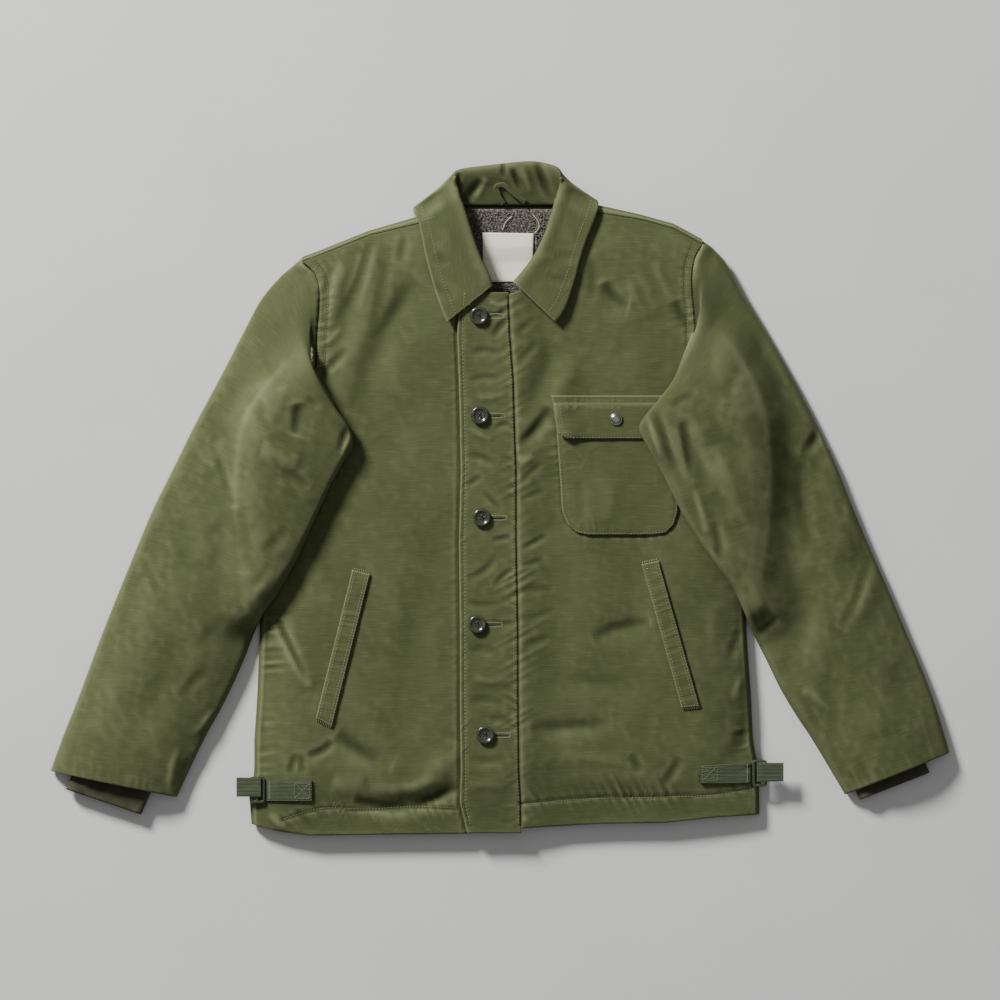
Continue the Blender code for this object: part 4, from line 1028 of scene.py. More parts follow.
class Wardrobe:
    """The finishes, one for each slot, and the sewing thread."""

    def __init__(self) -> None:
        """Mix every finish."""
        self.made = {
            Slot.SHELL: ClothFinish(
                "olive_shell", (0.055, 0.067, 0.022), (0.075, 0.089, 0.033), (0.158, 0.170, 0.085)
            ).material(),
            Slot.CUFF: ClothFinish(
                "dark_cuff", (0.030, 0.032, 0.016), (0.055, 0.056, 0.030), (0.085, 0.085, 0.05), slub=0.8
            ).material(),
            Slot.PILE: PileFinish("wool_pile", (0.028, 0.022, 0.016), (0.150, 0.130, 0.100)).material(),
            Slot.LABEL: ClothFinish(
                "cream_tape", (0.80, 0.78, 0.60), (0.88, 0.86, 0.70), (0.93, 0.91, 0.78), rib=260.0, slub=0.25
            ).material(),
            Slot.WEBBING: ClothFinish(
                "ribbed_webbing",
                (0.050, 0.062, 0.034),
                (0.075, 0.090, 0.052),
                (0.17, 0.19, 0.12),
                rib=209.0,
                relief=0.0004,
            ).material(),
            Slot.STEEL: HardFinish(
                "olive_steel", (0.050, 0.062, 0.036), (0.16, 0.17, 0.13), 0.42, metal=0.35
            ).material(),
            Slot.RESIN: HardFinish(
                "dark_horn", (0.026, 0.031, 0.016), (0.055, 0.060, 0.034), 0.22, rubbing=0.55, gloss=0.6
            ).material(),
            Slot.NICKEL: HardFinish(
                "plated_brass", (0.36, 0.36, 0.32), (0.18, 0.17, 0.14), 0.26, metal=1.0
            ).material(),
        }
        self.thread = ClothFinish(
            "pale_thread", (0.20, 0.215, 0.12), (0.27, 0.285, 0.17), (0.38, 0.39, 0.26), rib=600.0
        ).material()
        self.cream_thread = ClothFinish(
            "cream_thread", (0.66, 0.64, 0.50), (0.74, 0.72, 0.58), (0.82, 0.80, 0.68), rib=600.0
        ).material()


def link(thing: Piece) -> None:
    """Put a new object in the scene."""
    bpy.context.scene.collection.objects.link(thing)


def dress(piece: Piece, slot: Slot, *nodes: str) -> Piece:
    """Fasten a piece to the jacket.

    Args:
        piece: The piece.
        slot: The finish that it takes; not used.
        nodes: The solids that it stands for.

    Returns:
        The same piece.
    """
    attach(piece, "root")
    if nodes:
        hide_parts(*nodes)
    log.info("%s: %d faces", piece.name, len(piece.data.polygons) if piece.type == "MESH" else 0)
    return piece


def mesh_piece(name: str, points: Array, faces: Sequence[Array], material: Material) -> Piece:
    """Make a mesh object.

    Args:
        name: Its name.
        points: Its points in millimetres.
        faces: Arrays of faces, each with corners of one count.
        material: Its material.

    Returns:
        The object.
    """
    faces = [np.asarray(part) for part in faces if len(part)]
    counts = np.concatenate([np.full(len(part), part.shape[1]) for part in faces])
    corners = np.concatenate([part.ravel() for part in faces])
    mesh = bpy.data.meshes.new(name)
    mesh.vertices.add(len(points))
    mesh.vertices.foreach_set("co", (np.asarray(points) * METRE).astype(np.float32).ravel())
    mesh.loops.add(len(corners))
    mesh.loops.foreach_set("vertex_index", corners.astype(np.int32))
    mesh.polygons.add(len(counts))
    mesh.polygons.foreach_set("loop_start", np.concatenate([[0], np.cumsum(counts)[:-1]]).astype(np.int32))
    mesh.polygons.foreach_set("use_smooth", np.ones(len(counts), bool))
    mesh.update(calc_edges=True)
    mesh.materials.append(material)
    piece = bpy.data.objects.new(name, mesh)
    link(piece)
    return piece


@dataclass
class Sheet:
    """A sheet of cloth made as a wall with finished edges.

    Attributes:
        name: The piece's name.
        grid: Its outer face, rows by columns, with gaps where there is no cloth.
        wall: Its thickness.
        around: True where the last column meets the first.
        flip: True where the outer face is on the other side.
        flow: Cloth coordinates in millimetres, across and along, or the plan where left out.
        pale: Edges that are rubbed pale.
    """

    name: str
    grid: Array
    wall: float
    around: bool = False
    flip: bool = False
    flow: Optional[Array] = None
    pale: tuple[Edge, ...] = ()

    def faces(self) -> Array:
        """Corners of the outer face's quads.

        Returns:
            An array of four corners a row.
        """
        rows, columns = self.grid.shape[:2]
        index = np.arange(rows * columns).reshape(rows, columns)
        beside = np.roll(index, -1, axis=1) if self.around else index[:, 1:]
        here = index if self.around else index[:, :-1]
        quads = np.stack([here[:-1], beside[:-1], beside[1:], here[1:]], axis=-1).reshape(-1, 4)
        whole = np.isfinite(self.grid.reshape(-1, 3)[:, 0])[quads].all(axis=1)
        quads = quads[whole]
        return quads[:, ::-1] if self.flip else quads

    def wear_and_shade(self) -> Array:
        """How worn each point is, with painted shade in the troughs: over a half on rubbed ridges and pale
        edges, under it in troughs, where the cloth is painted darker as shade.

        Returns:
            How worn and how shaded each point is.
        """
        height = self.grid[..., 2]
        height = np.where(np.isfinite(height), height, np.nanmean(height))
        # Ridges above the softened height count as rubbed, and troughs below it as painted shade.
        bump = height - blurred(height, 8)
        result = 0.5 + np.clip(bump * 0.9, -0.5, 0.5)
        for edge in self.pale:
            line = {
                Edge.FIRST_ROW: self.grid[:1],
                Edge.LAST_ROW: self.grid[-1:],
                Edge.FIRST_COLUMN: self.grid[:, :1],
                Edge.LAST_COLUMN: self.grid[:, -1:],
            }[edge]
            away = np.linalg.norm(self.grid - line, axis=-1)
            result = result + 0.45 * np.exp(-((np.nan_to_num(away, nan=99.0) / 1.3) ** 2))
        return result

    def build(self, material: Material) -> Piece:
        """Make the piece.

        Args:
            material: Its material.

        Returns:
            The object, with its cloth coordinates and its rubbing and painted shade on its points.
        """
        quads = self.faces()
        used, index = np.unique(quads, return_inverse=True)
        quads = index.reshape(quads.shape)
        outer = self.grid.reshape(-1, 3)[used]
        flat = np.cross(outer[quads[:, 2]] - outer[quads[:, 0]], outer[quads[:, 3]] - outer[quads[:, 1]])
        normal = np.zeros_like(outer)
        for corner in range(4):
            np.add.at(normal, quads[:, corner], flat)
        normal /= np.maximum(np.linalg.norm(normal, axis=1), 1e-9)[:, None]
        inner = outer - normal * self.wall
        inner[:, 2] = np.maximum(inner[:, 2], 0.0)
        count = len(outer)
        edges = np.concatenate([quads[:, [k, (k + 1) % 4]] for k in range(4)])
        keys = edges[:, 0] * count + edges[:, 1]
        alone = ~np.isin(keys, edges[:, 1] * count + edges[:, 0])
        rim = edges[alone]
        rim_faces = np.column_stack([rim[:, 1], rim[:, 0], rim[:, 0] + count, rim[:, 1] + count])
        points = np.vstack([outer, inner])
        piece = mesh_piece(self.name, points, [quads, quads[:, ::-1] + count, rim_faces], material)
        flow = self.grid if self.flow is None else self.flow
        flow = flow.reshape(-1, flow.shape[-1])[used]
        cloth = np.zeros((2 * count, 3))
        cloth[:, :2] = np.vstack([flow[:, :2], flow[:, :2]]) * METRE
        piece.data.attributes.new("cloth", "FLOAT_VECTOR", "POINT").data.foreach_set("vector", cloth.ravel())
        # Rubbing and painted shade of each point, read by the cloth's colour.
        wear_and_shade = np.tile(self.wear_and_shade().reshape(-1)[used], 2)
        piece.data.attributes.new("wear_and_shade", "FLOAT", "POINT").data.foreach_set("value", wear_and_shade)
        return piece


class Ground:
    """Finished pieces that later ones are laid on, looked down on from above."""

    def __init__(self, *pieces: Piece) -> None:
        """Take in the first pieces."""
        self.trees: list[BVHTree] = []
        for piece in pieces:
            self.add(piece)

    def add(self, piece: Piece) -> None:
        """Take in a piece."""
        graph = bpy.context.evaluated_depsgraph_get()
        graph.update()
        self.trees.append(BVHTree.FromObject(piece, graph))

    def height(self, x: float, y: float) -> float:
        """Find the highest point at a place.

        Args:
            x: The place across.
            y: The place up.

        Returns:
            Its height in millimetres, or 0 where nothing lies.
        """
        start = Vector((x * METRE, y * METRE, 1.0))
        hits = (tree.ray_cast(start, Vector((0.0, 0.0, -1.0)))[0] for tree in self.trees)
        return max((hit.z / METRE for hit in hits if hit is not None), default=0.0)

    def over(self, x: Array, y: Array, reach: float) -> Array:
        """Find the highest points near places.

        Args:
            x: The places across.
            y: The places up.
            reach: How far round each place to look.

        Returns:
            A height for each place.
        """
        x, y = np.broadcast_arrays(np.asarray(x, float), np.asarray(y, float))
        result = np.zeros(x.shape)
        for index in np.ndindex(x.shape):
            result[index] = max(self.height(x[index] + reach * a, y[index] + reach * b) for a, b in AROUND)
        return result


def shoulder_y(x: Array) -> Array:
    """Height of the shoulder fold on the plan."""
    return np.interp(x, column(SHOULDER, "x"), column(SHOULDER, "y"))


def shoulder_seam_y(x: Array) -> Array:
    """Height of the shoulder seam on the plan, in front of the fold."""
    return shoulder_y(x) - np.interp(x, column(SHOULDER_SEAM, "x"), column(SHOULDER_SEAM, "y"))


def hem_y(x: Array) -> Array:
    """Height of the hem on the plan."""
    return np.interp(x, column(HEM, "x"), column(HEM, "y"))


def fly_seam_x(y: Array) -> Array:
    """Place of the fly's seam by height."""
    return np.interp(y, column(FLY, "y"), column(FLY, "seam"))


def fly_edge_x(y: Array) -> Array:
    """Place of the fly's free edge by height."""
    return np.interp(y, column(FLY, "y"), column(FLY, "edge"))


def side_x(y: Array, side: str) -> Array:
    """Place of the body's left or right side in the picture, by height."""
    return np.interp(y, column(SIDES, "y"), column(SIDES, side))


def side_inset(x: Array, y: Array) -> Array:
    """How far inside the body's sides each place is."""
    return np.maximum(np.minimum(x - side_x(y, "left"), side_x(y, "right") - x), 0.0)


def round_share(near: Array, reach: float) -> Array:
    """A quarter round: 0 at an edge and 1 at its reach."""
    return np.sqrt(np.clip(1 - (1 - np.clip(near / reach, 0, 1)) ** 2, 0, 1))


@dataclass(frozen=True)
class BodyForm:
    """The laid-out body's height above the floor.

    Attributes:
        folds: Its folds, large and fine.
    """

    folds: Relief

    def plain(self, x: Array, y: Array) -> Array:
        """Height of the padded body without its folds.

        Args:
            x: Places across.
            y: Places up.

        Returns:
            The heights.
        """
        inset = side_inset(x, y)
        loft = HEM_LOFT + (BODY_LOFT - HEM_LOFT) * soft_step(0.0, HEM_REACH, y - hem_y(x))
        low = np.minimum(SIDE_LOFT, loft)
        height = low + (loft - low) * (1 - (1 - np.clip(inset / SIDE_REACH, 0, 1)) ** 2)
        down = np.maximum((shoulder_y(x) - y) * math.cos(SHOULDER_SLOPE), 0.0)
        edge = np.minimum(height, SHOULDER_LOFT)
        return edge + (height - edge) * (1 - (1 - np.clip(down / SHOULDER_REACH, 0, 1)) ** 2)

    def front(self, x: Array, y: Array) -> Array:
        """Height of the fronts, with their folds.

        Args:
            x: Places across.
            y: Places up.

        Returns:
            The heights.
        """
        x, y = np.broadcast_arrays(np.asarray(x, float), np.asarray(y, float))
        inset = side_inset(x, y)
        down = np.maximum(shoulder_seam_y(x) - y, 0.0)
        calm = soft_step(0.0, 14.0, inset) * soft_step(0.0, 14.0, down) * soft_step(0.0, 8.0, y - hem_y(x))
        return self.plain(x, y) + calm * self.folds.rise(x, y)

    def lap(self, x: Array, y: Array) -> Array:
        """Height of the fly and of the left front, which the fly raises near its seam."""
        return self.front(x, y) + LAP_RISE * (1 - soft_step(0.0, LAP_FADE, x - fly_seam_x(y)))


@dataclass(frozen=True)
class Half:
    """What tells one half of the body from the other.

    Attributes:
        name: right or left, the wearer's.
        side: The column of its side seam.
        armhole: Its armhole from the side seam up.
        neck: Its neck from the shoulder down.
        sign: -1 for the right half and 1 for the left.
    """

    name: str
    side: str
    armhole: tuple[Spot, ...]
    neck: tuple[Spot, ...]
    sign: float

    def side_line(self, seam_rows: int, arm_rows: int) -> tuple[Array, Array]:
        """The side seam and the armhole as one line.

        Args:
            seam_rows: Points along the side seam.
            arm_rows: Points along the armhole.

        Returns:
            The line from the hem up, and how much each point belongs to the side seam.
        """
        edge_x = getattr(SIDES[0], self.side)
        foot, head = float(hem_y(edge_x)), self.armhole[0].y
        y = np.linspace(foot, head, seam_rows)
        seam = np.column_stack([np.interp(y, column(SIDES, "y"), column(SIDES, self.side)), y])
        arm = along(self.armhole, evenly(arm_rows + 1))[1:]
        fade = np.interp(head - y, (0.0, 29.0, 58.0), (0.75, 0.92, 1.0))
        arm_fade = np.interp(np.arange(1, arm_rows + 1) / arm_rows, (0.0, 0.08), (0.75, 0.0))
        return np.vstack([seam, arm]), np.concatenate([fade, arm_fade])


RIGHT_HALF = Half("right", "left", ARMHOLE_RIGHT, NECK_RIGHT, -1.0)
LEFT_HALF = Half("left", "right", ARMHOLE_LEFT, NECK_LEFT, 1.0)


@dataclass
class Front:
    """One front, from its side seam to the fly.

    Attributes:
        half: Which half it is.
        height: Its height by place.
        flat: Width and length of its cut; not used.
        seam_rows: Rows along the side seam.
        arm_rows: Rows along the armhole.
        columns: Columns behind the close ones at its side.
        close: Offsets of the close columns from the side seam.
    """

    half: Half
    height: Height
    flat: tuple[float, float]
    seam_rows: int = 158
    arm_rows: int = 84
    columns: int = 92
    close: tuple[float, ...] = (
        0.0, 0.0, 0.6, 1.2, 2.0, 3.0, 4.5, 6.0, 8.0, 10.5, 13.0, 16.0, 19.0, 22.0, 25.0, 28.0,
    )

    def lap_line(self, up: Array) -> Array:
        """The edge at the fly.

        Args:
            up: Shares of its length.

        Returns:
            A point for each share.
        """
        if self.half is RIGHT_HALF:
            return np.column_stack([np.full(len(up), LAP_X), -364.5 + (222.5 + 364.5) * up])
        y = -362.0 + (223.5 + 362.0) * up
        return np.column_stack([fly_seam_x(y) + FLY_GAP, y])

    def plan(self) -> tuple[Array, Array]:
        """Plan points of the front.

        Returns:
            The grid, and how much each row belongs to the side seam.
        """
        start, at_side = self.half.side_line(self.seam_rows, self.arm_rows)
        up = shares(start)
        lap = self.lap_line(up)
        width = abs(lap[0, 0] - start[0, 0])
        close = np.array(self.close) / width
        across = np.concatenate([close, np.linspace(close[-1], 1.0, self.columns + 1)[1:]])
        hem_x = start[0, 0] + (lap[0, 0] - start[0, 0]) * across
        bottom = np.column_stack([hem_x, hem_y(hem_x)])
        bottom[0], bottom[-1] = start[0], lap[0]
        neck = self.half.neck
        seam_x = np.linspace(start[-1, 0], neck[0].x, 9)
        line = np.vstack([np.column_stack([seam_x, shoulder_seam_y(seam_x)]), np.array(neck)[1:]])
        line[-1] = lap[-1]
        top = along(line, across)
        on_shoulder = (top[:, 0] - neck[0].x) * self.half.sign > 0
        top[:, 1] = np.where(on_shoulder, shoulder_seam_y(top[:, 0]), top[:, 1])
        start[-1] = top[0]
        plan = coons(bottom, top, start, lap, across, up)
        last = len(close) - 1
        reach = np.linalg.norm(plan[:, last] - plan[:, 0], axis=1)
        free = 1 - np.clip(at_side / 0.75, 0, 1)
        scale = np.minimum(1.0, reach / self.close[-1])
        for i in range(1, last):
            share = (self.close[i] + (0.35 if i == 1 else 0.0) * free) * scale / reach
            even = plan[:, 0] + (plan[:, last] - plan[:, 0]) * share[:, None]
            plan[:, i] = np.where(at_side[:, None] > 0, plan[:, i], even)
        return plan, at_side

    def build(self, material: Material) -> Piece:
        """Make the front.

        Args:
            material: Its cloth.

        Returns:
            The piece.
        """
        plan, at_side = self.plan()
        x, y = plan[..., 0], plan[..., 1]
        z = self.height(x, y)
        weight = at_side[:, None]
        offset = np.abs(x - x[:, :1])
        drop = (SIDE_LOFT - SIDE_SEAM_HEIGHT - 1.0) * (1 - np.clip(offset / SIDE_ROUND, 0, 1)) ** 2
        z = z - weight * drop
        natural = self.height(x[:, 0], y[:, 0])
        z[:, 0] = natural + at_side * (SIDE_SEAM_HEIGHT + SIDE_GAP / 2 - natural)
        z[:, 1] = np.where(at_side > 0, natural + at_side * (SIDE_SEAM_HEIGHT + 1.0 - natural), z[:, 1])
        name = f"front_{self.half.name}_cloth"
        sheet = Sheet(name, np.dstack([x, y, z]), WALL, flip=self.half is LEFT_HALF, pale=(Edge.FIRST_ROW,))
        piece = dress(sheet.build(material), Slot.SHELL, f"front_{self.half.name}")
        return piece


@dataclass
class FlyFacing:
    """The doubled strip that carries the buttonholes, from its free edge to its seam.

    Attributes:
        height: The lap's height by place.
        relief: Its own puckers.
        rows: Rows along it.
        columns: Columns across it.
        flat: Width and length of its cut; not used.
    """

    height: Height
    relief: Relief
    rows: int = 330
    columns: int = 34
    flat: tuple[float, float] = (62.0, 600.0)

    def build(self, material: Material) -> Piece:
        """Make the facing.

        Args:
            material: Its cloth.

        Returns:
            The piece.
        """
        y = np.linspace(FLY[0].y, FLY[-1].y, self.rows)[:, None]
        middle = np.linspace(0.03, 0.985, self.columns - 4)
        across = np.concatenate([[0.0, 0.008, 0.018], middle, [1.0]])
        free = fly_edge_x(y)
        x = free + (fly_seam_x(y) - free) * across
        y = np.broadcast_to(y, x.shape)
        from_edge = x - free
        z = self.height(x, y) + 0.25 + np.maximum(self.relief.rise(x, y), -1.6)
        z = z - 1.1 * (1 - round_share(from_edge, 2.6))
        sheet = Sheet("fly_cloth", np.dstack([x, y, z]), FLY_WALL, pale=(Edge.FIRST_COLUMN, Edge.FIRST_ROW))
        piece = dress(sheet.build(material), Slot.SHELL, "fly_facing")
        return piece


@dataclass
class Back:
    """The back, flat on the floor, turned up at its sides and folded forward over the shoulders.

    Attributes:
        height: The fronts' height by place, which its folded strips meet.
        neck_columns: Places of the columns at its neck.
        neck_y: Height of its neck on the plan.
        close: Offsets of the close columns at its sides.
        seam_rows: Rows along the side seams.
        arm_rows: Rows along the armholes.
        shoulder_columns: Columns of each shoulder.
        turn: Inset and height of the round at its shoulder folds.
        flat: Width and length of its cut; not used.
        raised_y: Heights on the plan between which its neck rises.
        raised_x: Distances from the middle between which it comes down again.
    """

    height: Height
    neck_columns: tuple[float, ...] = (-61.0, -56.0, -15.0, 32.0, 74.0, 79.0)
    neck_y: float = 320.6
    close: tuple[float, ...] = (0.0, 0.0, 1.0, 2.0, 3.5, 5.0, 7.0, 10.0, 15.0, 21.0, 28.0)
    seam_rows: int = 40
    arm_rows: int = 30
    shoulder_columns: int = 40
    turn: tuple[tuple[float, float], ...] = ((SHOULDER_ROUND, 0.0), (1.5, 1.6), (0.0, 7.0), (1.8, 12.2))
    flat: tuple[float, float] = (580.0, 740.0)
    raised_y: tuple[float, float] = (262.0, 284.0)
    raised_x: tuple[float, float] = (92.0, 118.0)

    def lift(self, x: Array, y: Array) -> Array:
        """How far its neck is raised over the collar's fall below it."""
        beside = soft_step(*self.raised_x, np.abs(x - NECK_MIDDLE))
        return NECK_LIFT * soft_step(*self.raised_y, y) * (1 - beside)

    def build(self, material: Material) -> Piece:
        """Make the back.

        Args:
            material: Its cloth.

        Returns:
            The piece.
        """
        start, at_side = RIGHT_HALF.side_line(self.seam_rows, self.arm_rows)
        end, _ = LEFT_HALF.side_line(self.seam_rows, self.arm_rows)
        width = end[0, 0] - start[0, 0]
        close = np.array(self.close) / width
        head = end[-1, 0] - start[-1, 0]
        neck = [(x - start[-1, 0]) / head for x in self.neck_columns]
        middle = np.concatenate([
            np.linspace(close[-1], neck[0], self.shoulder_columns)[1:-1],
            neck,
            np.linspace(neck[-1], 1 - close[-1], self.shoulder_columns)[1:-1],
        ])
        across = np.concatenate([close, middle, 1 - close[::-1]])
        up = (shares(start) + shares(end)) / 2
        hem_x = start[0, 0] + width * across
        bottom = np.column_stack([hem_x, hem_y(hem_x) + 2.0])
        bottom[0], bottom[-1] = start[0], end[0]
        top_x = start[-1, 0] + head * across
        in_neck = (top_x > self.neck_columns[0] + 1) & (top_x < self.neck_columns[-1] - 1)
        top = np.column_stack([top_x, np.where(in_neck, self.neck_y, shoulder_y(top_x) - SHOULDER_ROUND)])
        start[-1], end[-1] = top[0], top[-1]
        plan = coons(bottom, top, start, end, across, up)
        last = len(close) - 1
        for edge, inward in ((0, 1), (len(across) - 1, -1)):
            away = plan[:, edge + last * inward] - plan[:, edge]
            reach = np.linalg.norm(away, axis=1)
            scale = np.minimum(1.0, reach / self.close[-1])
            for k in range(1, last):
                even = plan[:, edge] + away * ((self.close[k] + 0.3) * scale / reach)[:, None]
                column_at = edge + k * inward
                plan[:, column_at] = np.where(at_side[:, None] > 0, plan[:, column_at], even)
        x, y = plan[..., 0], plan[..., 1]
        offset = np.minimum(np.abs(x - x[:, :1]), np.abs(x - x[:, -1:]))
        curl = (SIDE_SEAM_HEIGHT - 1.0) * (1 - np.clip(offset / SIDE_ROUND, 0, 1)) ** 2
        z = at_side[:, None] * curl + self.lift(x, y)
        for edge, inner in ((0, 1), (-1, -2)):
            z[:, edge] = at_side * (SIDE_SEAM_HEIGHT - SIDE_GAP / 2)
            z[:, inner] = at_side * (SIDE_SEAM_HEIGHT - 1.0)
        body = np.dstack([x, y, z])
        strip = self.strip(top_x, in_neck)
        sheet = Sheet("back_cloth", np.vstack([body, strip]), WALL, flip=True)
        piece = dress(sheet.build(material), Slot.SHELL, "back")
        return piece

    def strip(self, top_x: Array, in_neck: Array) -> Array:
        """The part folded forward over each shoulder.

        Args:
            top_x: Places of its columns.
            in_neck: True for the columns that end at the neck.

        Returns:
            Its rows, with gaps at the neck.
        """
        rows = []
        edge = shoulder_y(top_x)
        raised = self.lift(top_x, edge)
        turn = hermite(np.array(self.turn), evenly(4), evenly(13)[2:])
        for inset, z in turn:
            rows.append(np.column_stack([top_x, edge - inset, z + raised * (1 - z / 14.0)]))
        seam = edge - shoulder_seam_y(top_x) - SHOULDER_GAP
        for share in (0.3, 0.55, 0.75, 0.9, 1.0):
            y = edge - (1.8 + (seam - 1.8) * share)
            rows.append(np.column_stack([top_x, y, np.maximum(13.0, self.height(top_x, y))]))
        strip = np.stack(rows)
        strip[:, in_neck] = np.nan
        return strip


@dataclass
class Sleeve:
    """One sleeve: a flattened tube that lies over the body's side and then on the floor.

    Attributes:
        half: Which half it belongs to.
        table: Its sections.
        relief: Its folds and sewing.
        coarse: Sections that the loops are worked out at.
        rows: Rows along it.
        flat: Width all round and length of its cut; not used.
        top_offsets: Offsets of the close points at both edges of its top.
        top_points: Points of its top between the close ones.
        head_bow: How much of the armhole's bow the first sections keep.
        tall: Height above which the sleeve lies flatter.
        head_start: Share of the armhole that it leaves free below.
        head_rise: How far past the armhole its fold runs at the shoulder.
        head_drop: Run of its underside from the body to the floor, by the armhole.
        knee: Where its underside starts down to the floor, at the least.
        spread: How much further out its top comes down, in drops.
    """

    half: Half
    table: tuple[Section, ...]
    relief: Relief
    coarse: int = 21
    rows: int = 250
    flat: tuple[float, float] = (410.0, 550.0)
    top_offsets: tuple[float, ...] = (0.5, 1.2, 2.2, 3.4, 5.0, 7.0, 9.5, 12.0, 14.5, 17.0, 20.0)
    top_points: int = 44
    head_bow: tuple[float, ...] = (0.0, 0.85, 0.5, 0.2)
    tall: float = 36.0
    head_start: float = 0.10
    head_rise: float = 4.4
    head_drop: float = 8.0
    knee: float = 9.0
    spread: float = 3.5

    def sections(self) -> tuple[Array, Array]:
        """Fill in the table smoothly.

        Returns:
            The sections and where they lie along the sleeve.
        """
        knots = np.array(self.table, float)
        at = shares((knots[:, :2] + knots[:, 2:4]) / 2)
        fine = np.concatenate([at[:4], np.linspace(at[3], 1.0, self.coarse - 3)[1:]])
        rows = hermite(knots, at, fine)
        rows[:4] = knots[:4]
        return rows, fine

    def body_edge_x(self, y: Array) -> Array:
        """The body's side and armhole by height.

        Args:
            y: Heights on the plan.

        Returns:
            The place across at each.
        """
        seam = [(row.y, getattr(row, self.half.side)) for row in SIDES if row.y < self.half.armhole[0].y]
        line = np.array(seam + [(row.y, row.x) for row in self.half.armhole])
        return np.interp(y, line[:, 0], line[:, 1])

    def head_line(self, share: Array) -> Array:
        """The sleeve's end along the open part of the armhole.

        Args:
            share: Shares of its length.

        Returns:
            A point for each share.
        """
        armhole = self.half.armhole
        fold = armhole[-1]._replace(y=armhole[-1].y + self.head_rise)
        line = along([*armhole[3:], fold], self.head_start + (1 - self.head_start) * share)
        return line + np.array([self.half.sign * HEAD_GAP, 0.0])

    def loop(self, row: Array, index: int, height: Height) -> tuple[Array, Array, Array]:
        """One loop of points, from the inner edge over the top and back along the floor.

        Args:
            row: The section.
            index: Its number.
            height: What lies under the sleeve, by place.

        Returns:
            The points, how much the folds show at each, and the least height of each.
        """
        outer, inner, crown = row[:2], row[2:4], row[4]
        width = float(np.hypot(*(outer - inner)))
        unit = (outer - inner) / width
        reach = np.linspace(0.0, width, 81)
        x_line, y_line = inner[0] + unit[0] * reach, inner[1] + unit[1] * reach
        inside = (self.body_edge_x(y_line) - x_line) * self.half.sign > 0
        cover, body_top = 0.0, 0.0
        if index and (inside.any() or index == 1):
            inside[:2] = True
            cover = float(reach[inside].max())
            body_top = float(height(x_line[inside], y_line[inside]).max()) + SLEEVE_REST
        drop = SLEEVE_DROP if index > 1 else self.head_drop
        knee = max(cover + 1.0, self.knee)
        close = np.array(self.top_offsets)
        middle = np.linspace(close[-1], width - close[-1], self.top_points + 2)[1:-1]
        over = np.concatenate([close, middle, width - close[::-1]])
        near = np.minimum(over, width - over)
        reach_out = min(knee + self.spread * drop, width - SLEEVE_ROUND)
        raised = body_top * (1 - soft_step(min(knee, reach_out - 8.0), reach_out, over))
        if index:
            arch = crown * (1 - (1 - np.clip(2 * near / width, 0, 1)) ** 2)
            top = raised + SLEEVE_EDGE * (1 + round_share(near, SLEEVE_ROUND)) / 2 + arch
        else:
            chord = self.head_line(over / width)
            join = height(chord[:, 0], chord[:, 1])
            top = SLEEVE_EDGE / 2 + (join - SLEEVE_EDGE / 2) * round_share(width - over, SLEEVE_ROUND)
            body_top = join[0] - SLEEVE_EDGE * 0.6
            raised = np.array([body_top - 2.0])
        drops = knee + drop * np.array([0.0, 0.2, 0.4, 0.6, 0.85, 1.1])
        floor = np.linspace(drops[-1], width - 6.5, 7)[1:]
        under = np.concatenate([[1.2, 3.5, 6.5], drops, floor, [width - 3.5, width - 1.2]])[::-1]
        near = np.minimum(under, width - under)
        bottom = SLEEVE_EDGE / 2 * (1 - round_share(near, SLEEVE_ROUND))
        if body_top:
            bottom = bottom + body_top * (1 - soft_step(knee, knee + drop, under))
        apart = (2 * WALL + 0.8) * round_share(np.minimum(over, width - over), SLEEVE_ROUND)
        limit = np.interp(over, under[::-1], bottom[::-1]) + apart
        share = np.concatenate([[0.0], over, [width], under])
        z = np.concatenate([[raised[0] + SLEEVE_EDGE / 2], top, [SLEEVE_EDGE / 2], bottom])
        plan = inner + unit * share[:, None] if index else self.head_line(share / width)
        bow = self.head_bow[index] if index < len(self.head_bow) else 0.0
        if bow:
            curve = along(self.half.armhole[4:], np.clip(share / width, 0, 1))
            low, high = np.array(self.half.armhole[4]), np.array(self.half.armhole[-1])
            plan = plan + bow * (curve - low - (high - low) * (share / width)[:, None])
        calm = np.zeros(len(share))
        if index:
            near = np.minimum(share, width - share)[: len(over) + 2]
            calm[: len(over) + 2] = 0.15 + 0.85 * soft_step(0.0, 9.0, near)
        least = np.zeros(len(share))
        least[1 : len(over) + 1] = limit if index else 0.0
        return np.column_stack([plan, z]), calm, least

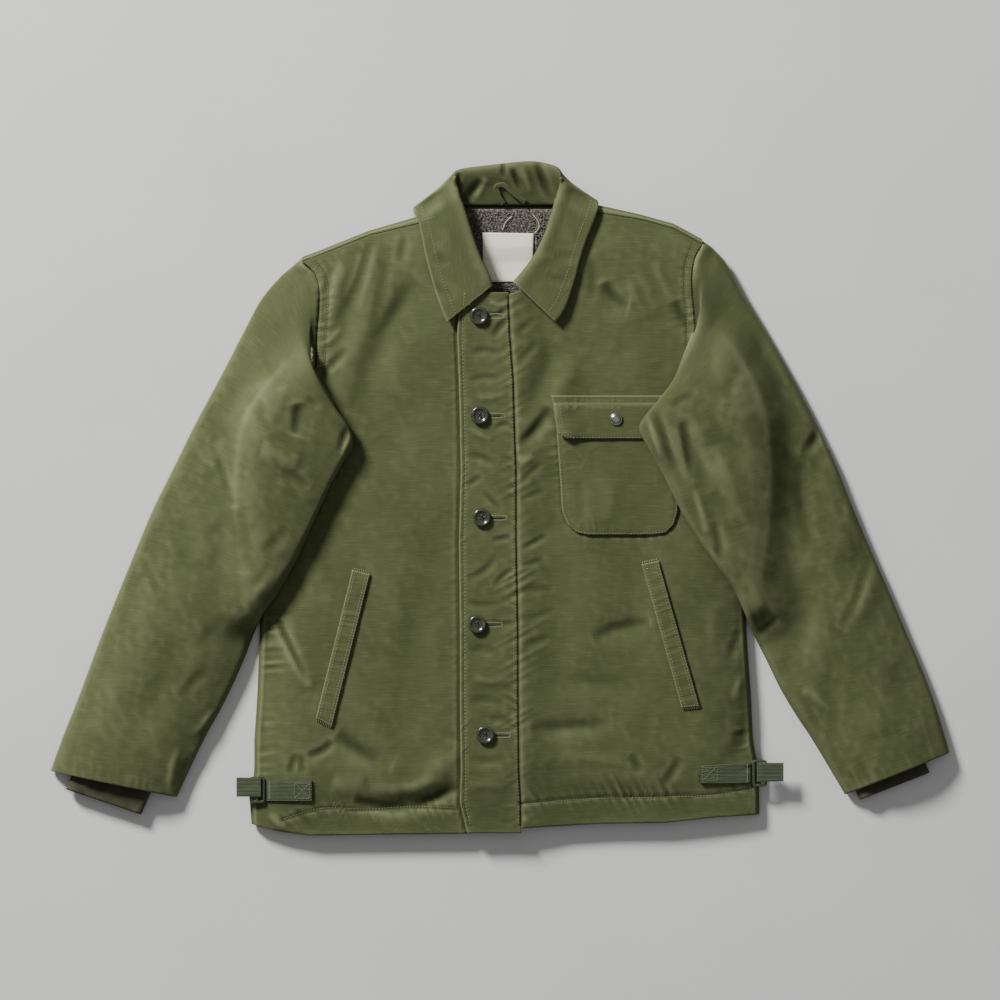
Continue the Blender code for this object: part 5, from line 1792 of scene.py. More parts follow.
    def build(self, height: Height, material: Material) -> Piece:
        """Make the sleeve.

        Args:
            height: What lies under it, by place.
            material: Its cloth.

        Returns:
            The piece.
        """
        sections, at = self.sections()
        made = [self.loop(row, index, height) for index, row in enumerate(sections)]
        loops, calm, least = (np.array(part) for part in zip(*made))
        places = np.concatenate([np.linspace(0, at[3], 14), np.linspace(at[3], 1.0, self.rows - 13)[1:]])
        grid = hermite(loops, at, places)
        cell = np.clip(np.searchsorted(at, places) - 1, 0, len(at) - 2)
        step = ((places - at[cell]) / (at[cell + 1] - at[cell]))[:, None, None]
        straight = loops[cell] * (1 - step) + loops[cell + 1] * step
        grid += (1 - soft_step(at[1], at[3], places))[:, None, None] * (straight - grid)
        calm = np.clip(hermite(calm, at, places), 0.0, 1.0)
        least = hermite(least, at, places)
        mouth = 1 - soft_step(0.985, 1.0, places)[:, None] * 0.5
        above = np.maximum(grid[..., 2] - self.tall, 0.0)
        grid[..., 2] -= 0.5 * above**2 / (above + 4.0)
        grid[..., 2] += calm * mouth * self.relief.rise(grid[..., 0], grid[..., 1])
        top = len(self.top_offsets) * 2 + self.top_points + 2
        over = grid[:, 1 : top - 1, 2]
        least = least[:, 1 : top - 1]
        raised = (over + least + np.sqrt((over - least) ** 2 + 1.0)) / 2
        grid[:, 1 : top - 1, 2] = np.where(over - least > 6.0, over, raised)
        rising = soft_step(0.0, 0.3 * at[3], places)
        head = (rising * (1 - soft_step(at[3], 2.4 * at[3], places)))[:, None]
        grid[:, :top, 2] += head * (blurred(grid[:, :top, 2], 40) - grid[:, :top, 2])
        grid[..., 2] = np.maximum(grid[..., 2], 0.0)
        length = np.linalg.norm(np.diff(grid.mean(axis=1), axis=0), axis=1)
        run = np.concatenate([[0.0], np.cumsum(length)])[:, None] * np.ones(grid.shape[1])
        steps = np.linalg.norm(np.diff(grid, axis=1), axis=2)
        girth = np.column_stack([np.zeros(len(grid)), np.cumsum(steps, axis=1)])
        name = f"sleeve_{self.half.name}_cloth"
        flow = np.dstack([girth, run])
        sheet = Sheet(
            name, grid, WALL, around=True, flip=self.half is LEFT_HALF, flow=flow, pale=(Edge.LAST_ROW,)
        )
        piece = dress(sheet.build(material), Slot.SHELL, f"sleeve_{self.half.name}")
        return piece


@dataclass
class InnerCuff:
    """The fitted cuff inside a sleeve, a flattened tube that stands out of the sleeve's mouth.

    Attributes:
        name: right or left.
        cuff: Its mouth.
        length: How far it runs.
        rise: Its height when flattened.
        base: Its height above the floor.
        wall: Its thickness.
        flat: Width all round and length of its cut; not used.
    """

    name: str
    cuff: Cuff
    length: float = 46.0
    rise: float = 9.6
    base: float = WALL + 0.5
    wall: float = 1.8
    flat: tuple[float, float] = (180.0, 48.0)

    def build(self, material: Material) -> Piece:
        """Make the cuff.

        Args:
            material: Its cloth.

        Returns:
            The piece.
        """
        ends = np.array([[self.cuff.x0, self.cuff.y0], [self.cuff.x1, self.cuff.y1]])
        up = np.array([self.cuff.up_x, self.cuff.up_y])
        width = float(np.hypot(*(ends[1] - ends[0])))
        half = 0.5 - 0.5 * np.cos(np.linspace(0.0, math.pi, 40))
        share = np.concatenate([half, half[-2:0:-1]])
        side = np.concatenate([np.ones(40), -np.ones(38)])
        side[[0, 39]] = 0.0
        near = np.minimum(share, 1 - share) * width
        bulge = self.rise / 2 * (1 + side * round_share(near + 0.6, 8.0) * (side != 0))
        loops, flow = [], []
        for step in evenly(24):
            plan = ends[0] + (ends[1] - ends[0]) * share[:, None] + up * self.length * step
            waves = field_noise(share * width / 9, np.full(len(share), step * 4.0), 8) * 0.5 * (side > 0)
            mouth = -0.5 * (1 - round_share(np.full(len(share), step * self.length), 2.5)) * side
            loops.append(np.column_stack([plan, self.base + bulge + waves + mouth]))
            flow.append(np.column_stack([share * width, np.full(len(share), step * self.length)]))
        name = f"inner_cuff_{self.name}_cloth"
        sheet = Sheet(
            name, np.array(loops), self.wall, around=True, flow=np.array(flow), pale=(Edge.FIRST_ROW,)
        )
        piece = dress(sheet.build(material), Slot.CUFF, f"inner_cuff_{self.name}")
        return piece


@dataclass
class Collar:
    """The collar: its stand from the neck seam, the roll, and the fall over the fronts and under the back.

    Attributes:
        coarse: Sections that its shape is worked out at.
        rows: Rows along it.
        columns: Columns from the neck seam to the edge.
        relief: Its folds.
        nip: How far the stand and the fall close in beside the roll.
        feel: How far round its edge, and round the rest of its fall, it feels for what it lies on.
        rest: Its clearance over that.
        flat: Width and length of its cut; not used.
    """

    coarse: int = 34
    rows: int = 270
    columns: int = 46
    relief: Relief = Relief(COLLAR_CREASES, uneven=0.5, seed=31)
    nip: float = 2.4
    feel: tuple[float, float] = (7.0, 9.0)
    rest: float = 0.8
    flat: tuple[float, float] = (120.0, 520.0)

    def section(self, turn: Turn, ground: Ground) -> Array:
        """One section from the neck seam to the edge.

        Args:
            turn: Its row of the table.
            ground: What the fall lies on.

        Returns:
            Its eight points.
        """
        neck = np.array([turn.neck_x, turn.neck_y, turn.neck_z])
        roll = np.array([turn.roll_x, turn.roll_y, turn.roll_z - COLLAR_ROLL])
        outward = -1.0 if turn.roll_x < NECK_MIDDLE else 1.0
        angle = math.radians(turn.angle)
        away = np.array([outward * math.cos(angle), 0.0, math.sin(angle)])
        front, back = soft_step(*FALL_TURN, turn.angle), soft_step(*FALL_TURN, -turn.angle)
        below = float(ground.over(turn.edge_x, turn.edge_y, self.feel[0]))
        over = below + COLLAR_WALL + self.rest + turn.lift
        beside = (1 - front) * (1 - back) * COLLAR_SIDE_HEIGHT
        edge = np.array([turn.edge_x, turn.edge_y, front * over + beside])
        toward = (neck - roll) / np.linalg.norm(neck - roll) + (edge - roll) / np.linalg.norm(edge - roll)
        toward /= np.linalg.norm(toward)
        stand = roll + self.nip * toward - COLLAR_ROLL * away
        fall = roll + self.nip * toward + COLLAR_ROLL * away
        points = [neck, (neck + stand) / 2, stand, roll, fall]
        for share in (0.3, 0.65, 1.0):
            point = fall + (edge - fall) * share
            if turn.angle > FALL_TURN[0]:
                below = float(ground.over(point[0], point[1], self.feel[1]))
                point[2] = max(point[2], below + COLLAR_WALL + self.rest)
            points.append(point)
        points = np.array(points)
        if turn.angle < -FALL_TURN[0]:
            points[5:, 2] = 0.0
        return points

    def build(self, ground: Ground, material: Material) -> Piece:
        """Make the collar.

        Args:
            ground: What its fall lies on.
            material: Its cloth.

        Returns:
            The piece.
        """
        knots = np.array(COLLAR, float)
        fine = evenly(self.coarse)
        table = hermite(knots, evenly(len(knots)), fine)
        loops = np.array([self.section(Turn(*row), ground) for row in table])
        places = evenly(self.rows)
        grid = hermite(loops, fine, places)
        angle = np.interp(places, fine, table[:, -1])
        at = np.array([0.0, 0.2, 0.4, 0.46, 0.52, 0.68, 0.85, 1.0])
        across = evenly(self.columns)
        grid = np.swapaxes(hermite(np.swapaxes(grid, 0, 1), at, across), 0, 1)
        rise = self.relief.rise(grid[..., 0], grid[..., 1])
        calm = soft_step(0.0, 0.06, across)[None, :] * soft_step(-25.0, -5.0, angle)[:, None]
        stand = (across < 0.44)[None, :]
        inner = soft_step(0.0, 0.06, across)[None, :] * stand
        grid[..., 2] += rise * np.maximum(calm, inner)
        fall = np.nonzero(across > 0.5)[0]
        excess = np.zeros(grid.shape[:2])
        for j in np.nonzero(angle > FALL_TURN[0])[0]:
            for i in fall:
                x, y, z = grid[j, i]
                excess[j, i] = max(ground.height(x, y) + COLLAR_WALL + 0.5 - z, 0.0)
        grid[..., 2] += np.maximum(blurred(widened(excess, 4), 24), excess)
        least = np.where(angle[:, None] < -FALL_TURN[0], 0.0, 2.5)
        grid[..., 2] = np.where(stand, grid[..., 2], np.maximum(grid[..., 2], least))
        run = np.cumsum(np.linalg.norm(np.diff(grid[:, -1], axis=0, prepend=grid[:1, -1]), axis=1))
        girth = np.cumsum(np.linalg.norm(np.diff(grid, axis=1, prepend=grid[:, :1]), axis=2), axis=1)
        flow = np.dstack([np.broadcast_to(run[:, None], girth.shape), girth])
        pale = (Edge.LAST_COLUMN, Edge.FIRST_ROW, Edge.LAST_ROW)
        sheet = Sheet("collar_cloth", grid, COLLAR_WALL, flip=True, flow=flow, pale=pale)
        piece = dress(sheet.build(material), Slot.SHELL, "collar")
        self.inside = grid[:, -5, :2]
        self.angle = angle
        return piece


def patch_plan(patch: Patch, rows: int, columns: int) -> Array:
    """Spread points over a patch.

    Args:
        patch: Its corners.
        rows: Rows.
        columns: Columns.

    Returns:
        The plan points.
    """
    corners = np.array(patch, float).reshape(4, 2)
    u = evenly(columns)[None, :, None]
    v = evenly(rows)[:, None, None]
    return (1 - v) * ((1 - u) * corners[0] + u * corners[1]) + v * ((1 - u) * corners[3] + u * corners[2])


def pocket_plan(table: tuple[PocketRow, ...], rows: int, columns: int) -> Array:
    """Spread points over a pocket piece.

    Args:
        table: Its rows.
        rows: Rows wanted.
        columns: Columns wanted.

    Returns:
        The plan points.
    """
    y = np.linspace(table[0].y, table[-1].y, rows)
    left = np.interp(y, column(table, "y"), column(table, "left"))[:, None]
    right = np.interp(y, column(table, "y"), column(table, "right"))[:, None]
    x = left + (right - left) * evenly(columns)
    return np.dstack([x, np.broadcast_to(y[:, None], x.shape)])


def widened(values: Array, times: int) -> Array:
    """Spread the highest values of a grid to their neighbours.

    Args:
        values: The grid.
        times: How many cells they spread.

    Returns:
        The widened grid.
    """
    for _ in range(times):
        padded = np.pad(values, 1, mode="edge")
        rows, columns = values.shape
        shifted = [padded[j : j + rows, i : i + columns] for j in range(3) for i in range(3)]
        values = np.maximum.reduce(shifted)
    return values


def settle(plan: Array, ground: Ground, soften: int) -> Array:
    """Lay a fine grid on what is below it.

    Args:
        plan: The plan points.
        ground: The finished pieces.
        soften: How stiffly it bridges what is below.

    Returns:
        The height of its underside at each point.
    """
    z = np.zeros(plan.shape[:2])
    for index in np.ndindex(z.shape):
        z[index] = ground.height(*plan[index])
    high = widened(z, max(1, soften // 3))
    return np.maximum(blurred(high, soften), z) + REST_GAP


@dataclass
class Laid:
    """A small piece of cloth that lies on what is below it.

    Attributes:
        name: The solid that it stands for.
        slot: Its finish.
        plan: Its plan points.
        wall: Its thickness.
        flat: Width and length of its cut; not used.
        relief: Its own small folds.
        soften: How stiffly it bridges what is below.
        lifts: Spots where it stands up: x, y, reach and height.
        crown: How far its middle is padded up.
        share: Its cut as a share of the rectangle; not used.
        on: The solids that it rests on; not used.
    """

    name: str
    slot: Slot
    plan: Array
    wall: float
    flat: tuple[float, float]
    relief: Relief = Relief(uneven=0.25)
    soften: int = 6
    lifts: tuple[tuple[float, float, float, float], ...] = ()
    crown: float = 0.0
    share: float = 1.0
    on: tuple[str, ...] = ()

    def build(self, ground: Ground, material: Material) -> Piece:
        """Make the piece.

        Args:
            ground: What it lies on.
            material: Its cloth.

        Returns:
            The piece.
        """
        x, y = self.plan[..., 0], self.plan[..., 1]
        z = settle(self.plan, ground, self.soften) + self.wall
        for lift_x, lift_y, reach, high in self.lifts:
            z = z + high * np.exp(-(((x - lift_x) ** 2 + (y - lift_y) ** 2) / reach**2))
        rows, columns = z.shape
        u = evenly(columns)[None, :]
        v = evenly(rows)[:, None]
        middle = np.clip(np.minimum(np.minimum(u, 1 - u) * 8, np.minimum(v, 1 - v) * 8), 0, 1)
        folds = np.maximum(self.relief.rise(x, y) + 0.3, 0.0) * (0.35 + 0.65 * middle)
        z = z + folds + self.crown * round_share(middle, 1.0)
        pale = tuple(Edge) if self.slot is Slot.SHELL else ()
        sheet = Sheet(f"{self.name}_cloth", np.dstack([x, y, z]), self.wall, pale=pale)
        piece = dress(sheet.build(material), self.slot, self.name)
        return piece


class Stitching:
    """Rows of stitches on finished cloth, gathered into one piece."""

    def __init__(self, name: str, ground: Ground) -> None:
        """Start with no stitches.

        Args:
            name: The piece's name.
            ground: The cloth that they are sewn on.
        """
        self.name = name
        self.ground = ground
        self.points: list[Array] = []
        self.faces: list[Array] = []
        self.tips: list[Array] = []
        self.count = 0

    def row(self, path: Array, pitch: float = 3.4, long: float = 2.5, thick: float = 0.85) -> None:
        """Sew along a line.

        Args:
            path: Its plan points.
            pitch: From one stitch to the next.
            long: Length of a stitch.
            thick: Its width.
        """
        path = np.asarray(path, float)
        steps = np.linalg.norm(np.diff(path, axis=0), axis=1)
        run = np.concatenate([[0.0], np.cumsum(steps)])
        for start in np.arange(0.5, run[-1] - long, pitch):
            places = (start, start + long)
            ends = [[np.interp(place, run, path[:, axis]) for axis in (0, 1)] for place in places]
            self.stitch(*ends, thick)

    def stitch(self, first: Sequence[float], last: Sequence[float], thick: float) -> None:
        """Sew one stitch.

        Args:
            first: Its start on the plan.
            last: Its end on the plan.
            thick: Its width.
        """
        a = np.array([*first, self.ground.height(*first)])
        b = np.array([*last, self.ground.height(*last)])
        if abs(a[2] - b[2]) > 2.5:
            return
        step = b - a
        side = np.array([-step[1], step[0], 0.0])
        side /= max(np.linalg.norm(side), 1e-6)
        rings = []
        for share in (0.22, 0.78):
            middle = a + step * share + np.array([0.0, 0.0, 0.06])
            for turn in (0.0, 0.5, 1.0, 1.5):
                angle = math.pi * turn
                spread = side * math.cos(angle) * thick / 2
                rings.append(middle + spread + np.array([0.0, 0.0, math.sin(angle) * thick * 0.42]))
        down = np.array([0.0, 0.0, 0.25])
        base = self.count
        self.points.append(np.array([a - down, *rings, b - down]))
        quads = [(1 + k, 1 + (k + 1) % 4, 5 + (k + 1) % 4, 5 + k) for k in range(4)]
        start = [(0, 1 + (k + 1) % 4, 1 + k) for k in range(4)]
        end = [(9, 5 + k, 5 + (k + 1) % 4) for k in range(4)]
        self.faces.append(np.array(quads) + base)
        self.tips.append(np.array(start + end) + base)
        self.count += 10

    def build(self, material: Material, slot: Slot) -> Piece:
        """Make the piece.

        Args:
            material: The thread.
            slot: The slot that it takes.

        Returns:
            The piece.
        """
        faces = [np.concatenate(self.faces), np.concatenate(self.tips)]
        piece = mesh_piece(self.name, np.concatenate(self.points), faces, material)
        return dress(piece, slot)


def strand(name: str, points: Array, thick: float, material: Material, slot: Slot) -> Piece:
    """Make a loose thread.

    Args:
        name: The piece's name.
        points: Its line in millimetres.
        thick: Its thickness.
        material: Its material.
        slot: Its slot.

    Returns:
        The piece.
    """
    line = along([tuple(point) for point in points], evenly(28))
    step = np.gradient(line, axis=0)
    step /= np.linalg.norm(step, axis=1)[:, None]
    side = np.cross(step, (0.0, 0.0, 1.0))
    side /= np.maximum(np.linalg.norm(side, axis=1), 1e-6)[:, None]
    up = np.cross(side, step)
    angle = np.linspace(0.0, 2 * math.pi, 7)[:-1]
    ring = [line + (side * math.cos(turn) + up * math.sin(turn)) * thick / 2 for turn in angle]
    grid = np.stack(ring, axis=1)
    count = grid.shape[1]
    index = np.arange(grid.shape[0] * count).reshape(-1, count)
    beside = np.roll(index, -1, axis=1)
    quads = np.stack([index[:-1], beside[:-1], beside[1:], index[1:]], axis=-1).reshape(-1, 4)
    caps = np.array([index[0][::-1], index[-1]])
    return dress(mesh_piece(name, grid.reshape(-1, 3), [quads, caps], material), slot)


def hole_place(turn: int, out: float) -> Array:
    """Place of a button's sewing hole about its centre, by its number and its distance out."""
    angle = math.pi * (0.25 + 0.5 * turn) + 0.2
    return out * np.array([math.cos(angle), math.sin(angle)])


@dataclass
class Turned:
    """A turned piece: a button or the snap.

    Attributes:
        name: The solid that it stands for.
        profile: Its profile from the top down.
        centre: Its place.
        slot: Its finish.
        steps: Steps round it.
        holes: How far its sewing holes lie from the centre, or 0 for none.
        hole: Their radius.
    """

    name: str
    profile: tuple[Lathe, ...]
    centre: Spot
    slot: Slot
    steps: int = 56
    holes: float = 0.0
    hole: float = 0.95

    def build(self, base: float, material: Material) -> Piece:
        """Make the piece.

        Args:
            base: The height that it stands on.
            material: Its material.

        Returns:
            The piece.
        """
        angle = np.linspace(0.0, 2 * math.pi, self.steps, endpoint=False)
        rings = np.array(self.profile[1:-1], float)
        points = [np.array([[0.0, 0.0, self.profile[0].z]])]
        for radius, z in rings:
            ring = (radius * np.cos(angle), radius * np.sin(angle), np.full(self.steps, z))
            points.append(np.column_stack(ring))
        points.append(np.array([[0.0, 0.0, self.profile[-1].z]]))
        index = 1 + np.arange(len(rings) * self.steps).reshape(len(rings), self.steps)
        beside = np.roll(index, -1, axis=1)
        quads = np.stack([index[:-1], index[1:], beside[1:], beside[:-1]], axis=-1).reshape(-1, 4)
        end = 1 + index.size
        top = np.column_stack([np.zeros(self.steps, int), index[0], beside[0]])
        foot = np.column_stack([np.full(self.steps, end), beside[-1], index[-1]])
        place = np.array([self.centre.x, self.centre.y, base])
        name = f"{self.name}_turned"
        piece = mesh_piece(name, np.vstack(points) + place, [quads, top, foot], material)
        if self.holes:
            self.bore(piece, place)
        return dress(piece, self.slot, self.name)

    def bore(self, piece: Piece, place: Array) -> None:
        """Drill the four sewing holes through a piece.

        Args:
            piece: The piece.
            place: The middle of its foot.
        """
        mesh = bmesh.new()
        radius = self.hole * METRE
        for turn in range(4):
            made = bmesh.ops.create_cone(
                mesh, cap_ends=True, segments=16, depth=12 * METRE, radius1=radius, radius2=radius
            )
            at = place + np.array([*hole_place(turn, self.holes), 0.0])
            bmesh.ops.translate(mesh, verts=made["verts"], vec=Vector(at * METRE))
        data = bpy.data.meshes.new("bore")
        mesh.to_mesh(data)
        mesh.free()
        cutter = bpy.data.objects.new("bore", data)
        link(cutter)
        cut = piece.modifiers.new("Bore", "BOOLEAN")
        cut.object, cut.operation, cut.solver = cutter, "DIFFERENCE", "EXACT"
        graph = bpy.context.evaluated_depsgraph_get()
        graph.update()
        bored = bpy.data.meshes.new_from_object(piece.evaluated_get(graph))
        piece.modifiers.clear()
        piece.data = bored
        bpy.data.objects.remove(cutter)


@dataclass
class Buckle:
    """A flat slide buckle of pressed steel with two slots.

    Attributes:
        name: The solid that it stands for.
        slide: Its outer corners.
        bar: Width of its bars.
        wall: Its thickness.
        bevel: The round of its edges.
    """

    name: str
    slide: Slide
    bar: float = 2.6
    wall: float = 2.2
    bevel: float = 0.5

    def build(self, base: float, material: Material) -> Piece:
        """Make the buckle.

        Args:
            base: The height that it lies at.
            material: Its material.

        Returns:
            The piece.
        """
        slide = self.slide
        curve = bpy.data.curves.new(self.name, "CURVE")
        curve.dimensions, curve.fill_mode = "2D", "BOTH"
        curve.extrude = (self.wall / 2 - self.bevel) * METRE
        curve.bevel_depth, curve.bevel_resolution = self.bevel * METRE, 3
        wide = (slide.x1 - slide.x0 - 3 * self.bar) / 2
        outer = (slide.x0 + self.bevel, slide.y0 + self.bevel, slide.x1 - self.bevel, slide.y1 - self.bevel)
        rails = [outer]
        for k in range(2):
            x = slide.x0 + self.bar + k * (wide + self.bar)
            low, high = slide.y0 + self.bar, slide.y1 - self.bar
            rails.append((x - self.bevel, low - self.bevel, x + wide + self.bevel, high + self.bevel))
        for k, (x0, y0, x1, y1) in enumerate(rails):
            cut = 1.8 if k == 0 else 0.8
            corners = (
                (x0 + cut, y0), (x1 - cut, y0), (x1, y0 + cut), (x1, y1 - cut),
                (x1 - cut, y1), (x0 + cut, y1), (x0, y1 - cut), (x0, y0 + cut),
            )
            spline = curve.splines.new("POLY")
            spline.points.add(7)
            for point, (x, y) in zip(spline.points, corners):
                point.co = (x * METRE, y * METRE, 0.0, 1.0)
            spline.use_cyclic_u = True
        holder = bpy.data.objects.new(self.name, curve)
        link(holder)
        graph = bpy.context.evaluated_depsgraph_get()
        graph.update()
        data = bpy.data.meshes.new_from_object(holder.evaluated_get(graph))
        bpy.data.objects.remove(holder)
        piece = bpy.data.objects.new(f"{self.name}_steel", data)
        piece.location.z = (base + self.wall / 2) * METRE
        link(piece)
        data.materials.clear()
        data.materials.append(material)
        return dress(piece, Slot.STEEL, self.name)


@dataclass
class Tufts:
    """The standing pile of the neck's lining.

    Attributes:
        count: How many tufts.
        seed: Picks their places.
    """

    count: int = 5200
    seed: int = 12

    def build(self, ground: Ground, material: Material) -> Piece:
        """Make the tufts.

        Args:
            ground: The lining.
            material: Its pile.

        Returns:
            The piece.
        """
        rng = np.random.default_rng(self.seed)
        low, high = np.array([LINING.x0, LINING.y0]) + 2, np.array([LINING.x2, LINING.y2]) - 2
        places = rng.uniform(low, high, (self.count, 2))
        lean = rng.normal(0.0, 1.1, (self.count, 2))
        tall = rng.uniform(0.8, 2.2, self.count)
        label = (places[:, 0] > -21) & (places[:, 0] < 39) & (places[:, 1] > 236) & (places[:, 1] < 294)
        points, faces = [], []
        for place, tip, rise in zip(places[~label], lean[~label], tall[~label]):
            z = ground.height(*place) - 0.2
            turn = rng.uniform(0.0, 2.0)
            base = len(points)
            for k in range(3):
                angle = turn + 2 * math.pi * k / 3
                points.append((place[0] + 0.7 * math.cos(angle), place[1] + 0.7 * math.sin(angle), z))
            points.append((place[0] + tip[0], place[1] + tip[1], z + rise))
            faces += [(base, base + 1, base + 3), (base + 1, base + 2, base + 3), (base + 2, base, base + 3)]
            faces.append((base + 2, base + 1, base))
        return dress(mesh_piece("lining_pile", np.array(points), [np.array(faces)], material), Slot.PILE)


class Lines:
    """The seam lines of the body on the plan."""

    def __init__(self) -> None:
        """Work out every line."""
        y = np.linspace(-360.0, 226.0, 120)
        self.fly_edge = np.column_stack([fly_edge_x(y), y])
        y = np.linspace(-358.0, 220.0, 120)
        self.fly_seam = np.column_stack([fly_seam_x(y), y])
        self.arm_right = along(ARMHOLE_RIGHT[4:], evenly(40))
        self.arm_left = along(ARMHOLE_LEFT[4:], evenly(40))
        x = np.linspace(ARMHOLE_RIGHT[-1].x + 2, -68.0, 40)
        self.shoulder_right = np.column_stack([x, shoulder_seam_y(x)])
        x = np.linspace(88.0, ARMHOLE_LEFT[-1].x - 2, 40)
        self.shoulder_left = np.column_stack([x, shoulder_seam_y(x)])
        x = np.linspace(SIDES[0].left + 5, -45.0, 60)
        self.hem_right = np.column_stack([x, hem_y(x)])
        x = np.linspace(18.0, SIDES[0].right - 5, 60)
        self.hem_left = np.column_stack([x, hem_y(x)])
        self.hem_stitch = along(HEM_STITCH, evenly(40))
        self.band = along(HEM_BAND, evenly(40))
        y = np.linspace(-320.0, -120.0, 40)
        self.side_right = np.column_stack([side_x(y, "left") + 9, y])
        self.side_left = np.column_stack([side_x(y, "right") - 9, y])
        self.pocket = self.ring(POCKET, 0.0)

    @staticmethod
    def ring(table: tuple[PocketRow, ...], inset: float) -> Array:
        """The sides and foot of a pocket piece.

        Args:
            table: Its rows.
            inset: How far inside its edge.

        Returns:
            The line, down the left side, along the foot and up the right one.
        """
        left = [(row.left + inset, row.y) for row in table[::-1]]
        right = [(row.right - inset, row.y) for row in table]
        line = np.array(left + right, float)
        line[:, 1] = np.maximum(line[:, 1], table[0].y + inset)
        return line

    def right_seams(self) -> tuple[Seam, ...]:
        """Seams that draw in the right front."""
        return (
            Seam(self.fly_edge, 5.0, 0.5, 8.0, 0.4, 0.0, 11, 1),
            Seam(self.arm_right, 5.5, 0.75, 13.0, 0.2, 1.0, 12),
            Seam(offset_line(self.arm_right, -9.0), 3.5, 0.5, 5.0, 0.2, 0.8, 13),
            Seam(self.shoulder_right, 5.0, 0.8, 11.0, 0.2, 0.4, 14),
            Seam(self.hem_right, 3.4, 1.0, 6.0, 1.0, 0.0, 15),
            Seam(self.hem_stitch, 4.5, 0.9, 11.0, 0.5, 1.2, 16),
            Seam(self.side_right, 5.5, 1.0, 14.0, 0.1, 0.5, 17),
        )

    def left_seams(self) -> tuple[Seam, ...]:
        """Seams that draw in the left front and the fly."""
        return (
            Seam(self.fly_seam, 6.0, 0.8, 15.0, 0.5, 1.0, 21),
            Seam(self.arm_left, 5.5, 0.75, 13.0, 0.2, 1.0, 22),
            Seam(offset_line(self.arm_left, 9.0), 3.5, 0.5, 5.0, 0.2, 0.8, 23),
            Seam(self.shoulder_left, 5.0, 0.8, 11.0, 0.2, 0.4, 24),
            Seam(self.hem_left, 3.4, 1.0, 6.0, 1.0, 0.0, 25),
            Seam(self.band, 4.8, 1.1, 12.0, 0.5, 1.2, 26),
            Seam(self.side_left, 5.5, 0.8, 12.0, 0.1, 0.5, 27),
            Seam(self.pocket, 5.5, 0.7, 11.0, 0.2, 0.6, 28),
        )


